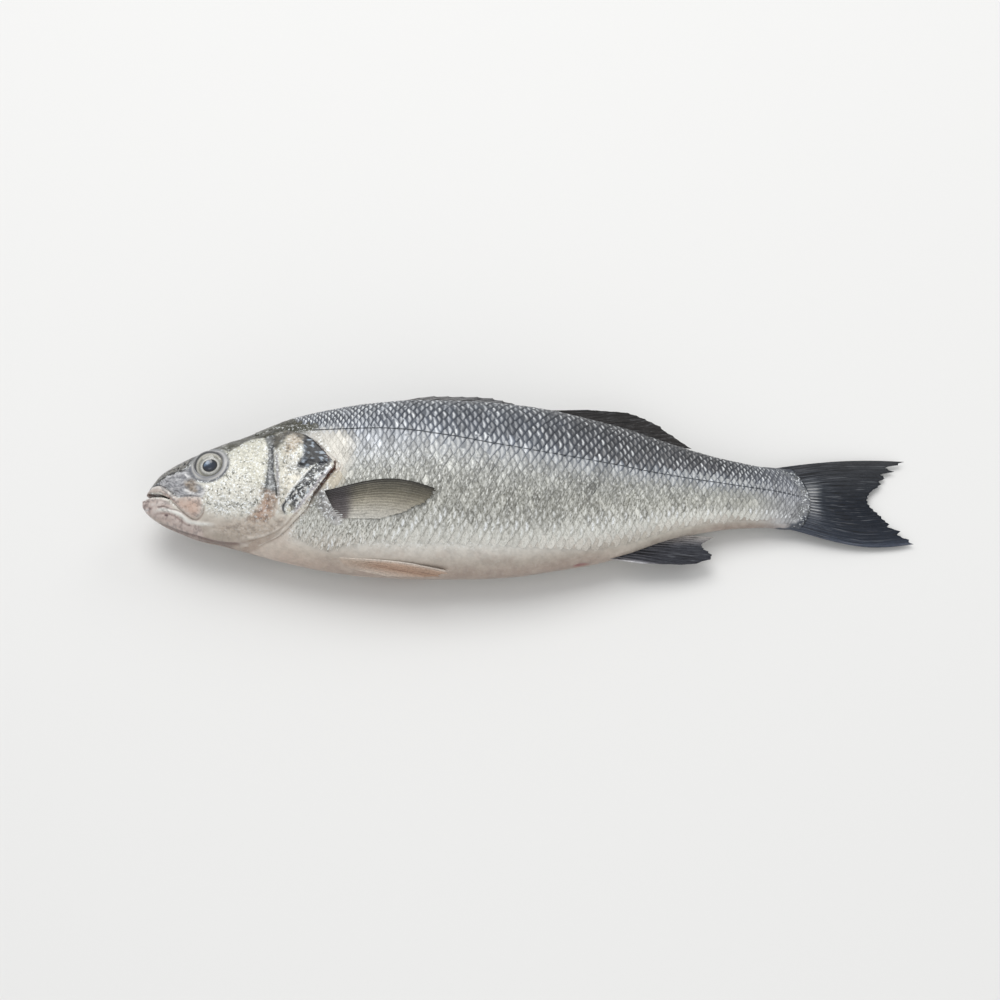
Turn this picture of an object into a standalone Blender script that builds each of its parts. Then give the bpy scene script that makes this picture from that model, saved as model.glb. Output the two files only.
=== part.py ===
"""A whole raw sea bass, lying on its right flank with its back a little raised.

The fish is drawn first as a straight fish, in millimetres: `s` runs back from the snout, `d` up
towards the back and `w` out towards the left flank. `at_rest` then lays every point down: it rolls
the fish on its side, lowers the thin tail onto the surface and presses the soft underside flat.
The surface is Z = 0, the head points to -X and the back to +Y.
"""

import math

import bpy
import numpy as np

MM = 0.001

# ---------------------------------------------------------------- driving dimensions, in mm
TOTAL_LENGTH = 415.6
BODY_END = 361.5            # where the scaled body ends and the tail fin takes over
SURFACE_GAP = 0.35          # clear space between the body and a piece that lies on it
FIN_THICKNESS = 0.9
AXIS_Y = -1.2               # the straight fish's axis, from the centre of its footprint

# Outlines of the straight fish: (s, size) pairs.
DORSAL_LINE = ((0, -4.5), (2.5, -0.2), (8, 6.0), (14, 9.4), (20, 12.8), (30, 17.5), (45, 23.7), (60, 29.8),
               (80, 38.8), (100, 44.4), (120, 48.1), (150, 50.6), (180, 50.4), (200, 48.9), (220, 46.8),
               (240, 43.1), (260, 38.9), (280, 33.4), (300, 28.0), (320, 24.0), (338, 21.9), (361.5, 22.0))
VENTRAL_LINE = ((0, -10.0), (4, -15.2), (8, -18.6), (14, -22.4), (20, -25.1), (30, -29.3), (45, -32.9),
                (60, -37.0), (80, -42.3), (100, -46.5), (120, -49.0), (150, -50.6), (180, -50.2),
                (200, -48.9), (220, -45.2), (240, -41.1), (260, -34.9), (280, -26.4), (300, -19.9),
                (320, -16.0), (338, -14.8), (361.5, -18.0))
HALF_THICKNESS = ((0, 2.4), (4, 5.6), (8, 7.7), (14, 10.0), (20, 11.8), (30, 14.4), (45, 17.4), (60, 20.2),
                  (80, 24.0), (100, 26.3), (120, 27.8), (145, 28.4), (180, 27.9), (200, 26.9), (220, 25.1),
                  (240, 22.6), (260, 19.6), (280, 15.8), (300, 12.5), (320, 10.0), (338, 7.8), (351, 4.8),
                  (358, 2.4), (361.5, 1.4))
BACK_SQUARENESS = ((0, 2.2), (18, 2.5), (38, 2.9), (56, 2.7), (80, 2.3), (110, 2.1), (361.5, 2.1))
BELLY_SQUARENESS = 2.1      # 2 is an ellipse, and more is a squarer section
TAIL_SHEAR = ((0, 0.0), (325, 0.0), (361.5, 9.0))   # how far the end's rim lies ahead of its middle

# How the fish lies: the height of its middle plane above the surface, and its roll in degrees.
MIDPLANE_HEIGHT = ((0, 25.5), (60, 25.5), (110, 25.2), (150, 24.8), (180, 24.0), (200, 23.5), (225, 21.5),
                   (250, 19.3), (275, 16.4), (300, 13.4), (335, 9.6), (352, 8.0), (375, 5.2), (395, 3.2),
                   (TOTAL_LENGTH, 2.3))
ROLL_DEG = ((0, 8.0), (150, 8.0), (250, 6.0), (345, 2.0), (TOTAL_LENGTH, 0.5))

# Gill cover: (degrees round from the back, s of its free rear edge).
GILL_EDGE = ((30, 66), (53, 80), (62, 90), (76, 99), (87, 105), (92, 102), (107, 94), (116, 91),
             (126, 85), (141, 77), (154, 68), (180, 58))
GILL_EDGE_RISE = 1.9
GILL_EDGE_WIDTH = 0.9
GILL_COVER_LENGTH = 34.0
GILL_SECTIONS = (28.0, 95.0, 150.0)   # sections bend with the gill edge: from, along it at, and until

# The right pectoral fin is pinned under the fish: the flank is dented over it by this much.
PINNED_FIN_DENT = 1.4
PINNED_FIN_S = (95.0, 164.0)
PINNED_FIN_DEG = (94.0, 131.0)

EYE_AT = (37.6, 7.6)        # s, d of the eyeball's centre
EYE_TILT_DEG = 4.0          # the gaze, below straight out to the side
EYE_RADIUS = 8.8
EYE_DEPTH = 5.0             # half the eyeball's depth, in and out of the head
EYE_SEAT = 3.2              # how deep its centre sits under the cheek
SOCKET_GAP = 0.35

MOUTH_CORNER = (17.0, -11.2)
MOUTH_LIPS = ((-4.0, -2.4), (-4.0, -5.0))

RIB_COUNT = 40              # points round a section of the body


# ---------------------------------------------------------------- the straight fish
def along(line, s):
    """Smooth value at s of a line of (s, value) pairs, without overshoot between the pairs."""
    x, y = np.array(line, float).T
    step, rise = np.diff(x), np.diff(y)
    slope = rise / step
    tangent = np.empty_like(y)
    tangent[0], tangent[-1] = slope[0], slope[-1]
    flat = slope[:-1] * slope[1:] <= 0
    weight = (step[:-1] + 2 * step[1:]) / (3 * (step[:-1] + step[1:]))
    blend = np.where(flat, 1.0, weight * slope[1:] + (1 - weight) * slope[:-1])
    tangent[1:-1] = np.where(flat, 0.0, slope[:-1] * slope[1:] / blend)
    s = np.clip(np.asarray(s, float), x[0], x[-1])
    i = np.clip(np.searchsorted(x, s) - 1, 0, len(step) - 1)
    t = (s - x[i]) / step[i]
    return (y[i] * (1 + 2 * t) * (1 - t) ** 2 + y[i + 1] * t * t * (3 - 2 * t)
            + step[i] * (tangent[i] * t * (1 - t) ** 2 - tangent[i + 1] * t * t * (1 - t)))


def ease(x):
    """0 below 0, 1 above 1, and a smooth step between."""
    x = np.clip(x, 0.0, 1.0)
    return x * x * (3 - 2 * x)


def gill_cover_rise(s, angle):
    """How far the gill cover stands proud of the head, dropping at its free rear edge."""
    turn = np.degrees(np.abs((angle + math.pi) % (2 * math.pi) - math.pi))
    edge = along(GILL_EDGE, turn)
    on_side = ease((turn - 30) / 20) * ease((172 - turn) / 50)
    before = 1 - ease((s - edge) / GILL_EDGE_WIDTH)
    swell = ease((s - edge + GILL_COVER_LENGTH) / GILL_COVER_LENGTH)
    return GILL_EDGE_RISE * on_side * before * swell


def bent_section(u, angle):
    """s of the section that is number u at its straight ones: it bends until one lies on the gill edge."""
    start, at_edge, end = GILL_SECTIONS
    turn = np.degrees(np.abs((angle + math.pi) % (2 * math.pi) - math.pi))
    edge = along(GILL_EDGE, turn)
    before = start + (u - start) * (edge - start) / (at_edge - start)
    after = edge + (u - at_edge) * (end - edge) / (end - at_edge)
    return np.where((u < start) | (u > end), u, np.where(u < at_edge, before, after))


def body_point(s, angle, offset=0.0):
    """A point of the straight body's surface; angle 0 is the back and 90 degrees the left flank."""
    top, bottom = along(DORSAL_LINE, s), along(VENTRAL_LINE, s)
    middle, half_depth = (top + bottom) / 2, (top - bottom) / 2
    lift = gill_cover_rise(s, angle) + offset
    up, out = np.cos(angle), np.sin(angle)
    squareness = np.where(up > 0, along(BACK_SQUARENESS, s), BELLY_SQUARENESS)
    bulge = np.maximum(1 - np.abs(up) ** squareness, 0) ** (1 / squareness)
    d = middle + (half_depth + lift) * up
    w = (along(HALF_THICKNESS, s) + lift) * bulge * np.sign(out)
    shear = along(TAIL_SHEAR, s) * ((d - middle) / np.maximum(half_depth, 1)) ** 2
    return s - shear, d, w


def underside_floor(s, angle):
    """Lowest height the body may reach: the surface, or just above the fin pinned on the right flank."""
    turn = np.degrees((angle + math.pi) % (2 * math.pi) - math.pi)
    along_fin = (s > PINNED_FIN_S[0]) & (s < PINNED_FIN_S[1])
    across_fin = (-turn > PINNED_FIN_DEG[0]) & (-turn < PINNED_FIN_DEG[1])
    return np.where(along_fin & across_fin, PINNED_FIN_DENT, 0.0)


def at_rest(s, d, w, floor=0.0):
    """World position, in metres, of a point of the straight fish."""
    roll = np.radians(along(ROLL_DEG, s))
    y = AXIS_Y + d * np.cos(roll) - w * np.sin(roll)
    z = along(MIDPLANE_HEIGHT, s) + d * np.sin(roll) + w * np.cos(roll)
    x = s - TOTAL_LENGTH / 2
    return np.stack(np.broadcast_arrays(x, y, np.maximum(z, floor)), axis=-1) * MM


# ---------------------------------------------------------------- Blender helpers
def clear_scene():
    for thing in list(bpy.data.objects):
        bpy.data.objects.remove(thing)


def new_collection(name):
    made = bpy.data.collections.new(name)
    bpy.context.scene.collection.children.link(made)
    return made


def material(name, colour, roughness, metallic=0.0):
    made = bpy.data.materials.new(name)
    made.use_nodes = True
    shader = made.node_tree.nodes["Principled BSDF"]
    shader.inputs["Base Color"].default_value = (*colour, 1.0)
    shader.inputs["Roughness"].default_value = roughness
    shader.inputs["Metallic"].default_value = metallic
    return made


def mesh_object(name, points, faces, finish, collection):
    mesh = bpy.data.meshes.new(name)
    mesh.from_pydata([tuple(p) for p in points], [], faces)
    mesh.shade_smooth()
    made = bpy.data.objects.new(name, mesh)
    mesh.materials.append(finish)
    collection.objects.link(made)
    return made


def grid_faces(rows, columns, closed=False):
    """Quads between neighbouring points of a grid that is stored row by row."""
    last = columns if closed else columns - 1
    return [(r * columns + c, r * columns + (c + 1) % columns,
             (r + 1) * columns + (c + 1) % columns, (r + 1) * columns + c)
            for r in range(rows - 1) for c in range(last)]


def cut(target, cutter):
    """Cuts cutter out of target, and keeps the cutter as a hidden guide."""
    cutter.hide_render = True
    cutter.display_type = "WIRE"
    boolean = target.modifiers.new("cut " + cutter.name, "BOOLEAN")
    boolean.operation = "DIFFERENCE"
    boolean.object = cutter


# ---------------------------------------------------------------- pieces
def body_stations():
    """Sections close together over the head and at the gill edge, and further apart on the trunk."""
    snout = 60 * (np.linspace(0.07, 1, 17) ** 1.6)
    head = np.linspace(63.5, GILL_SECTIONS[1] - 2.5, 9)
    gill_edge = GILL_SECTIONS[1] + np.array([0.0, 0.8, 3.5])
    trunk = np.linspace(106, 342, 27)
    end = np.array([348, 354, 358, BODY_END])
    return np.concatenate([snout, head, gill_edge, trunk, end])


def make_body(finish, collection):
    """The head and trunk: one closed loft of rounded sections."""
    stations = body_stations()
    angles = np.arange(RIB_COUNT) * 2 * math.pi / RIB_COUNT
    station, angle = np.meshgrid(stations, angles, indexing="ij")
    s = bent_section(station, angle)
    points = at_rest(*body_point(s, angle), floor=underside_floor(s, angle)).reshape(-1, 3)
    snout_tip = at_rest(0.0, -7.4, 0.0)
    end_tip = at_rest(BODY_END + 0.2, 1.1, 0.0)
    faces = grid_faces(len(stations), RIB_COUNT, closed=True)
    first, last = len(points), len(points) + 1
    rim = (len(stations) - 1) * RIB_COUNT
    for i in range(RIB_COUNT):
        after = (i + 1) % RIB_COUNT
        faces.append((first, after, i))
        faces.append((last, rim + i, rim + after))
    return mesh_object("body", [*points, snout_tip, end_tip], faces, finish, collection)


def eye_centre(side):
    """Centre of the eyeball, in world metres; side is 1 for the left eye and -1 for the right."""
    s, d = EYE_AT
    top, bottom = along(DORSAL_LINE, s), along(VENTRAL_LINE, s)
    angle = math.acos((2 * d - top - bottom) / (top - bottom))
    _, _, w = body_point(s, angle)
    return at_rest(s, d, side * (w - EYE_SEAT))


def make_eyeball(name, side, extra, finish, collection):
    """A flattened sphere that looks out of the side of the head."""
    bpy.ops.mesh.primitive_uv_sphere_add(segments=24, ring_count=14, radius=1.0)
    ball = bpy.context.active_object
    ball.name = ball.data.name = name
    for owner in list(ball.users_collection):
        owner.objects.unlink(ball)
    collection.objects.link(ball)
    ball.scale = ((EYE_RADIUS + extra) * MM, (EYE_RADIUS + extra) * MM, (EYE_DEPTH + extra) * MM)
    ball.rotation_euler = (math.radians(ROLL_DEG[0][1] + side * EYE_TILT_DEG), 0.0, 0.0)
    ball.location = eye_centre(side)
    ball.data.shade_smooth()
    ball.data.materials.append(finish)
    return ball


def make_mouth_cutter(finish, collection):
    """A thin wedge that parts the lips from the snout back to the corner of the mouth."""
    outline = [MOUTH_LIPS[0], MOUTH_CORNER, (MOUTH_CORNER[0], MOUTH_CORNER[1] - 0.5), MOUTH_LIPS[1]]
    reach = 30.0
    points = [at_rest(s, d, side * reach, floor=-reach) for side in (-1, 1) for s, d in outline]
    faces = [(0, 1, 2, 3), (7, 6, 5, 4), (0, 4, 5, 1), (1, 5, 6, 2), (2, 6, 7, 3), (3, 7, 4, 0)]
    return mesh_object("mouth_slit", points, faces, finish, collection)


def fin_sheet(name, roots, tips, place, rays, steps, finish, collection, fray=0.0, bow=(0.0, 0.0)):
    """A fin as an open sheet from its root line to its ray tips, given a thickness by Solidify.

    roots and tips run along the fin: functions of a share 0..1 that give a position. place turns
    positions between them into (s, d, w) of the straight fish. fray shortens every other ray, and
    bow curves the first and the last ray by that much of a position's second number.
    """
    share = np.linspace(0, 1, rays)
    root = np.array([roots(k) for k in share])
    tip = np.array([tips(k) for k in share])
    notch = 1 - fray * (np.arange(rays) % 2)[:, None]
    rows = np.array([root + (tip - root) * t * notch for t in np.linspace(0, 1, steps)])
    curve = np.sin(math.pi * np.linspace(0, 1, steps))[:, None]
    rows[:, :, 1] += curve * (bow[0] + (bow[1] - bow[0]) * share)
    points = at_rest(*place(rows.transpose(2, 0, 1)), floor=FIN_THICKNESS * 0.6).reshape(-1, 3)
    sheet = mesh_object(name, points, grid_faces(steps, rays), finish, collection)
    solidify = sheet.modifiers.new("thickness", "SOLIDIFY")
    solidify.thickness = FIN_THICKNESS * MM
    solidify.offset = 0.0
    return sheet


def on_curve(*points):
    """A function of a share 0..1 that runs smoothly through points, evenly spaced in the share."""
    knots = np.linspace(0, 1, len(points))
    columns = np.array(points, float).T
    return lambda k: np.array([along(list(zip(knots, column)), k) for column in columns])


def in_midplane(position):
    """(s, d) to a point of the fish's middle plane."""
    s, d = position
    return s, d, np.zeros_like(s)


def on_flank(side):
    """(s, degrees, lift) to a point lying that far clear of the left (1) or right (-1) flank."""
    def place(position):
        s, degrees, lift = position
        s, d, w = body_point(s, np.radians(degrees), SURFACE_GAP + FIN_THICKNESS / 2 + lift)
        return s, d, side * w
    return place


def make_midplane_fins(finish, collection):
    """The first and second back fins, folded back, the anal fin and the tail fin."""
    clear = SURFACE_GAP + 0.4
    ridge = lambda s: np.array([s, along(DORSAL_LINE, s) + clear])
    keel = lambda s: np.array([s, along(VENTRAL_LINE, s) - clear])
    fin_sheet("first_dorsal_fin", lambda k: ridge(118 + 76 * k),
              on_curve((140, 52.4), (158, 54.9), (176, 55.0), (192, 53.2), (206, 50.2)),
              in_midplane, 10, 5, finish, collection, fray=0.16)
    fin_sheet("second_dorsal_fin", lambda k: ridge(212 + 63 * k),
              on_curve((240, 49.9), (258, 49.9), (274, 46.0), (286, 38.4), (297, 30.8)),
              in_midplane, 13, 6, finish, collection, fray=0.05)
    fin_sheet("anal_fin", lambda k: keel(251 + 39 * k),
              on_curve((268, -39.7), (291, -39.0), (306.5, -33.2), (301, -28.8), (301.5, -26), (307.3, -22.3)),
              in_midplane, 13, 6, finish, collection, fray=0.04)
    fin_sheet("caudal_fin", lambda k: np.array([BODY_END + 0.6 - 9.0 * (2 * k - 1) ** 2, 21.1 - 40.0 * k]),
              on_curve((414.5, 30.0), (407, 22.0), (398, 12.5), (392.4, 4.0), (398.5, -4.0), (407, -12.5),
                       (TOTAL_LENGTH, -20.8)),
              in_midplane, 25, 8, finish, collection, fray=0.05, bow=(2.6, -3.4))


def make_side_fins(finish, collection):
    """Pectoral and pelvic fins: each pair lies folded back along the body."""
    for name, side in (("left", 1), ("right", -1)):
        fin_sheet(f"pectoral_fin_{name}",
                  on_curve((103.5, 104, 0.2), (105, 112, 0.2), (109, 122.5, 0.2)),
                  on_curve((156.5, 103, 0.8), (153.5, 108.5, 0.7), (146, 114.5, 0.5), (133, 121.5, 0.4)),
                  on_flank(side), 11, 9, finish, collection, fray=0.04, bow=(-6.5, 0.0))
        fin_sheet(f"pelvic_fin_{name}",
                  on_curve((112, 154, 0.2), (113, 160, 0.2), (114, 166, 0.2)),
                  on_curve((164, 166, 0.9), (158, 169, 0.8), (146, 172, 0.6)),
                  on_flank(side), 8, 9, finish, collection, fray=0.04, bow=(-5.0, 0.0))


def make_fish():
    clear_scene()
    fish = new_collection("sea_bass")
    cutters = new_collection("cutters")
    skin = material("silver_skin", (0.62, 0.63, 0.62), 0.32)
    membrane = material("fin_membrane", (0.16, 0.18, 0.21), 0.45)
    eye = material("eye", (0.05, 0.06, 0.08), 0.08)

    body = make_body(skin, fish)
    cut(body, make_mouth_cutter(skin, cutters))
    for name, side in (("left", 1), ("right", -1)):
        make_eyeball(f"eye_{name}", side, 0.0, eye, fish)
        cut(body, make_eyeball(f"socket_{name}", side, SOCKET_GAP, skin, cutters))
    make_midplane_fins(membrane, fish)
    make_side_fins(membrane, fish)


make_fish()
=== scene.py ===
"""Looks of a whole raw sea bass that lies on its right flank with its back a little raised.

The fish is drawn first as a straight fish, in millimetres: `s` runs back from the snout, `d` up
towards the back and `w` out towards the left flank, and a `turn` is measured in degrees round a
section, from 0 on the back to 180 under the belly. FishForm holds its outlines and lays every point
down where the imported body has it. Colours are written as 0..255 values of the finished surface.
"""

from __future__ import annotations

import logging
import math
from collections.abc import Iterable, Sequence
from dataclasses import dataclass, field
from enum import Enum

import bpy
import numpy as np
from mathutils import Matrix, Vector


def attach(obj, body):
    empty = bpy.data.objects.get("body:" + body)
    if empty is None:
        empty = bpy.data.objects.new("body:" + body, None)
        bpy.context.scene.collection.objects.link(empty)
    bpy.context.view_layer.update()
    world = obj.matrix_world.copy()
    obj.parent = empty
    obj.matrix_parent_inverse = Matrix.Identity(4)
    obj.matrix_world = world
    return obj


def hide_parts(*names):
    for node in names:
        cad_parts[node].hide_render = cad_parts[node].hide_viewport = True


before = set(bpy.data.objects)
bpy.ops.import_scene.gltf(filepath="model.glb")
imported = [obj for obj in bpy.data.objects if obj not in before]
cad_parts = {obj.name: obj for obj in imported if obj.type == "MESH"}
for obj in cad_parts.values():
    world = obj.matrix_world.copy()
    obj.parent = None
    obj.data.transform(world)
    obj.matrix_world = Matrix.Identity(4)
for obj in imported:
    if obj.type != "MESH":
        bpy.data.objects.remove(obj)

Array = np.ndarray
Pairs = tuple[tuple[float, float], ...]
Colour = tuple[float, float, float]
Socket = bpy.types.NodeSocket

MM = 0.001
SEED = 20
EYE_AT = (37.6, 7.6)
NOSTRILS = ((20.2, 7.4, 0.75), (23.4, 9.9, 0.95))
TAIL_ROOT_TOP = 20.8
TAIL_ROOT_DEPTH = 36.0
TAIL_RAYS = 22
FIN_CLEAR = 0.5
log = logging.getLogger("sea_bass")


class Flank(Enum):
    """The two flanks; the value is the sign of w there."""

    LEFT = 1
    RIGHT = -1


class Profile(Enum):
    """How a marking's effect spreads from the line that draws it."""

    RIDGE = "fades away on both sides of the line"
    LEDGE = "full on the left of the line's direction, and drops at the line"
    PATCH = "full inside the closed line"


# ------------------------------------------------------------------------------- lines and shapes
def along(line: Pairs, at: Array | float) -> Array:
    """Reads a line of (position, value) pairs smoothly, without overshoot between the pairs.

    Args:
        line: The pairs, in rising order of position.
        at: Positions to read.

    Returns:
        The value at each position; beyond the ends it stays the same.
    """
    x, y = np.array(line, float).T
    step = np.diff(x)
    slope = np.diff(y) / step
    tangent = np.empty_like(y)
    tangent[0], tangent[-1] = slope[0], slope[-1]
    flat = slope[:-1] * slope[1:] <= 0
    weight = (step[:-1] + 2 * step[1:]) / (3 * (step[:-1] + step[1:]))
    blend = np.where(flat, 1.0, weight * slope[1:] + (1 - weight) * slope[:-1])
    tangent[1:-1] = np.where(flat, 0.0, slope[:-1] * slope[1:] / blend)
    at = np.clip(np.asarray(at, float), x[0], x[-1])
    i = np.clip(np.searchsorted(x, at) - 1, 0, len(step) - 1)
    t = (at - x[i]) / step[i]
    return (y[i] * (1 + 2 * t) * (1 - t) ** 2 + y[i + 1] * t * t * (3 - 2 * t)
            + step[i] * (tangent[i] * t * (1 - t) ** 2 - tangent[i + 1] * t * t * (1 - t)))


def ease(x: Array | float) -> Array:
    """A smooth step from 0 at 0 to 1 at 1."""
    x = np.clip(x, 0.0, 1.0)
    return x * x * (3 - 2 * x)


def ramp(at: Array | float, start: float, end: float) -> Array:
    """A smooth step from 0 at the start to 1 at the end, which may be the smaller of the two."""
    return ease((at - start) / (end - start))


def bell(at: Array, middle: float, width: Array | float) -> Array:
    """A soft bump that is 1 at the middle and has faded away about two widths from it."""
    return np.exp(-((at - middle) / width) ** 2)


def rounded(points: Pairs, closed: bool, steps: int = 5) -> Array:
    """Rounds a line through its points.

    Args:
        points: The points it passes through.
        closed: Whether the last point leads back to the first.
        steps: Short segments for each pair of points.

    Returns:
        The points of the rounded line, one per row.
    """
    p = np.array(points, float)
    if closed:
        p = np.vstack([p[-1], p, p[:2]])
    else:
        p = np.vstack([2 * p[0] - p[1], p, 2 * p[-1] - p[-2]])
    t = np.arange(steps)[:, None] / steps
    pieces = [0.5 * (2 * b + (c - a) * t + (2 * a - 5 * b + 4 * c - e) * t ** 2
                     + (3 * b - a - 3 * c + e) * t ** 3)
              for a, b, c, e in zip(p[:-3], p[1:-2], p[2:-1], p[3:])]
    end = p[1:2] if closed else p[-2:-1]
    return np.vstack([*pieces, end])


def mottled(s: Array, d: Array, size: float, seed: int, stretch: float = 1.0) -> Array:
    """Smooth random values from -1 to 1 over the plane of s and d.

    Args:
        s: Distances from the snout.
        d: Heights above the axis.
        size: How far apart independent values lie, in mm.
        seed: Which pattern.
        stretch: How much longer the spots are along s than across.

    Returns:
        A value for each point.
    """
    grid = np.random.default_rng(SEED + seed).uniform(-1, 1, (256, 256))
    x, y = np.asarray(s, float) / (size * stretch) + 64, np.asarray(d, float) / size + 64
    i, j = np.floor(x).astype(int), np.floor(y).astype(int)
    a, b = ease(x - i), ease(y - j)
    i0, i1, j0, j1 = i % 256, (i + 1) % 256, j % 256, (j + 1) % 256
    low = grid[i0, j0] * (1 - a) + grid[i1, j0] * a
    high = grid[i0, j1] * (1 - a) + grid[i1, j1] * a
    return low * (1 - b) + high * b


def turn_of(angle: Array) -> Array:
    """Degrees round from the back, 0 to 180 on either flank."""
    return np.degrees(np.abs((angle + math.pi) % (2 * math.pi) - math.pi))


def linear(colour: Array | Colour) -> Array:
    """Turns 0..255 display colours into linear light."""
    c = np.asarray(colour, float) / 255
    return np.where(c <= 0.04045, c / 12.92, ((np.clip(c, 0, None) + 0.055) / 1.055) ** 2.4)


def mixed(base: Array, tint: Colour | Array, weight: Array) -> Array:
    """Mixes a tint into colours by a weight for each."""
    return base + (np.asarray(tint, float) - base) * weight[..., None]


def layered(base: Array, *layers: tuple[Colour, Array]) -> Array:
    """Mixes tints into colours one after another, each by its own weights."""
    for tint, weight in layers:
        base = mixed(base, tint, weight)
    return base


@dataclass(frozen=True)
class Band:
    """Colours that change along one measure: (measure, colour) stops."""

    stops: tuple[tuple[float, Colour], ...]

    def at(self, measure: Array) -> Array:
        """The colour at each measure."""
        where = [m for m, _ in self.stops]
        return np.stack([np.interp(measure, where, [c[i] for _, c in self.stops]) for i in range(3)], -1)


@dataclass(frozen=True)
class Marking:
    """A line or patch drawn in (s, d) on both flanks, which tints the skin and raises or sinks it.

    Its width is how far its effect takes to fade, in mm. Speckle, mottle, coarse and folds are levels
    from 0 to 1 that the skin takes on there: of fine specks and painted glints, of dark flecks and
    painted glints, of dark blotches and painted glints in place of the flecks, and of creases that are
    painted with shade in their hollows and highlights on their crests. Ragged is how far its outline
    is pushed about.
    """

    points: Pairs
    width: float
    tint: Colour | None = None
    strength: float = 1.0
    rise: float = 0.0
    profile: Profile = Profile.RIDGE
    speckle: float | None = None
    mottle: float | None = None
    coarse: float | None = None
    folds: float | None = None
    ragged: float = 0.0

    def weight(self, s: Array, d: Array) -> Array:
        """How strongly the marking acts at each point.

        Args:
            s: Distances from the snout.
            d: Heights above the axis.

        Returns:
            A weight from 0 to 1 for each point.
        """
        closed = self.profile is Profile.PATCH
        line = rounded(self.points, closed)
        low, high = line.min(0) - 2 * self.width, line.max(0) + 2 * self.width
        near = (s > low[0]) & (s < high[0]) & (d > low[1]) & (d < high[1])
        weight = np.zeros(np.shape(s))
        if near.any():
            weight[near] = self._spread(line, s[near], d[near])
        return weight

    def ragged_weight(self, s: Array, d: Array, off: Sequence[Array]) -> Array:
        """The weight with the marking's outline pushed about by offsets along s and d."""
        return self.weight(s + self.ragged * off[0], d + self.ragged * off[1])

    def _spread(self, line: Array, s: Array, d: Array) -> Array:
        """The weight at points near the line, by the marking's profile."""
        best = np.full(len(s), 1e9)
        side = np.ones(len(s))
        share = np.zeros(len(s))
        inside = np.zeros(len(s), bool)
        for number, ((s0, d0), (s1, d1)) in enumerate(zip(line[:-1], line[1:])):
            ds, dd = s1 - s0, d1 - d0
            length = math.hypot(ds, dd) or 1e-6
            t = np.clip(((s - s0) * ds + (d - d0) * dd) / length ** 2, 0, 1)
            distance = np.hypot(s - s0 - t * ds, d - d0 - t * dd)
            closer = distance < best
            best = np.where(closer, distance, best)
            side = np.where(closer, np.sign(ds * (d - d0) - dd * (s - s0)), side)
            share = np.where(closer, (number + t) / (len(line) - 1), share)
            if abs(dd) > 1e-9:
                crosses = ((d0 > d) != (d1 > d)) & (s < ds * (d - d0) / dd + s0)
                inside ^= crosses
        if self.profile is Profile.PATCH:
            return ease(0.5 + np.where(inside, best, -best) / (2 * self.width))
        if self.profile is Profile.LEDGE:
            ends = ramp(share, 0, 0.12) * ramp(share, 1, 0.88)
            return ends * np.where(side > 0, bell(best, 0, self.width), ease(1 - best / 0.7))
        return ease(1 - best / self.width) * ramp(share, 0, 0.15) * ramp(share, 1, 0.85)


def patch(points: Pairs, width: float, tint: Colour | None = None, strength: float = 1.0,
          **more: float) -> Marking:
    """A marking that fills the closed line through its points."""
    return Marking(points, width, tint, strength, profile=Profile.PATCH, **more)


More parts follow.
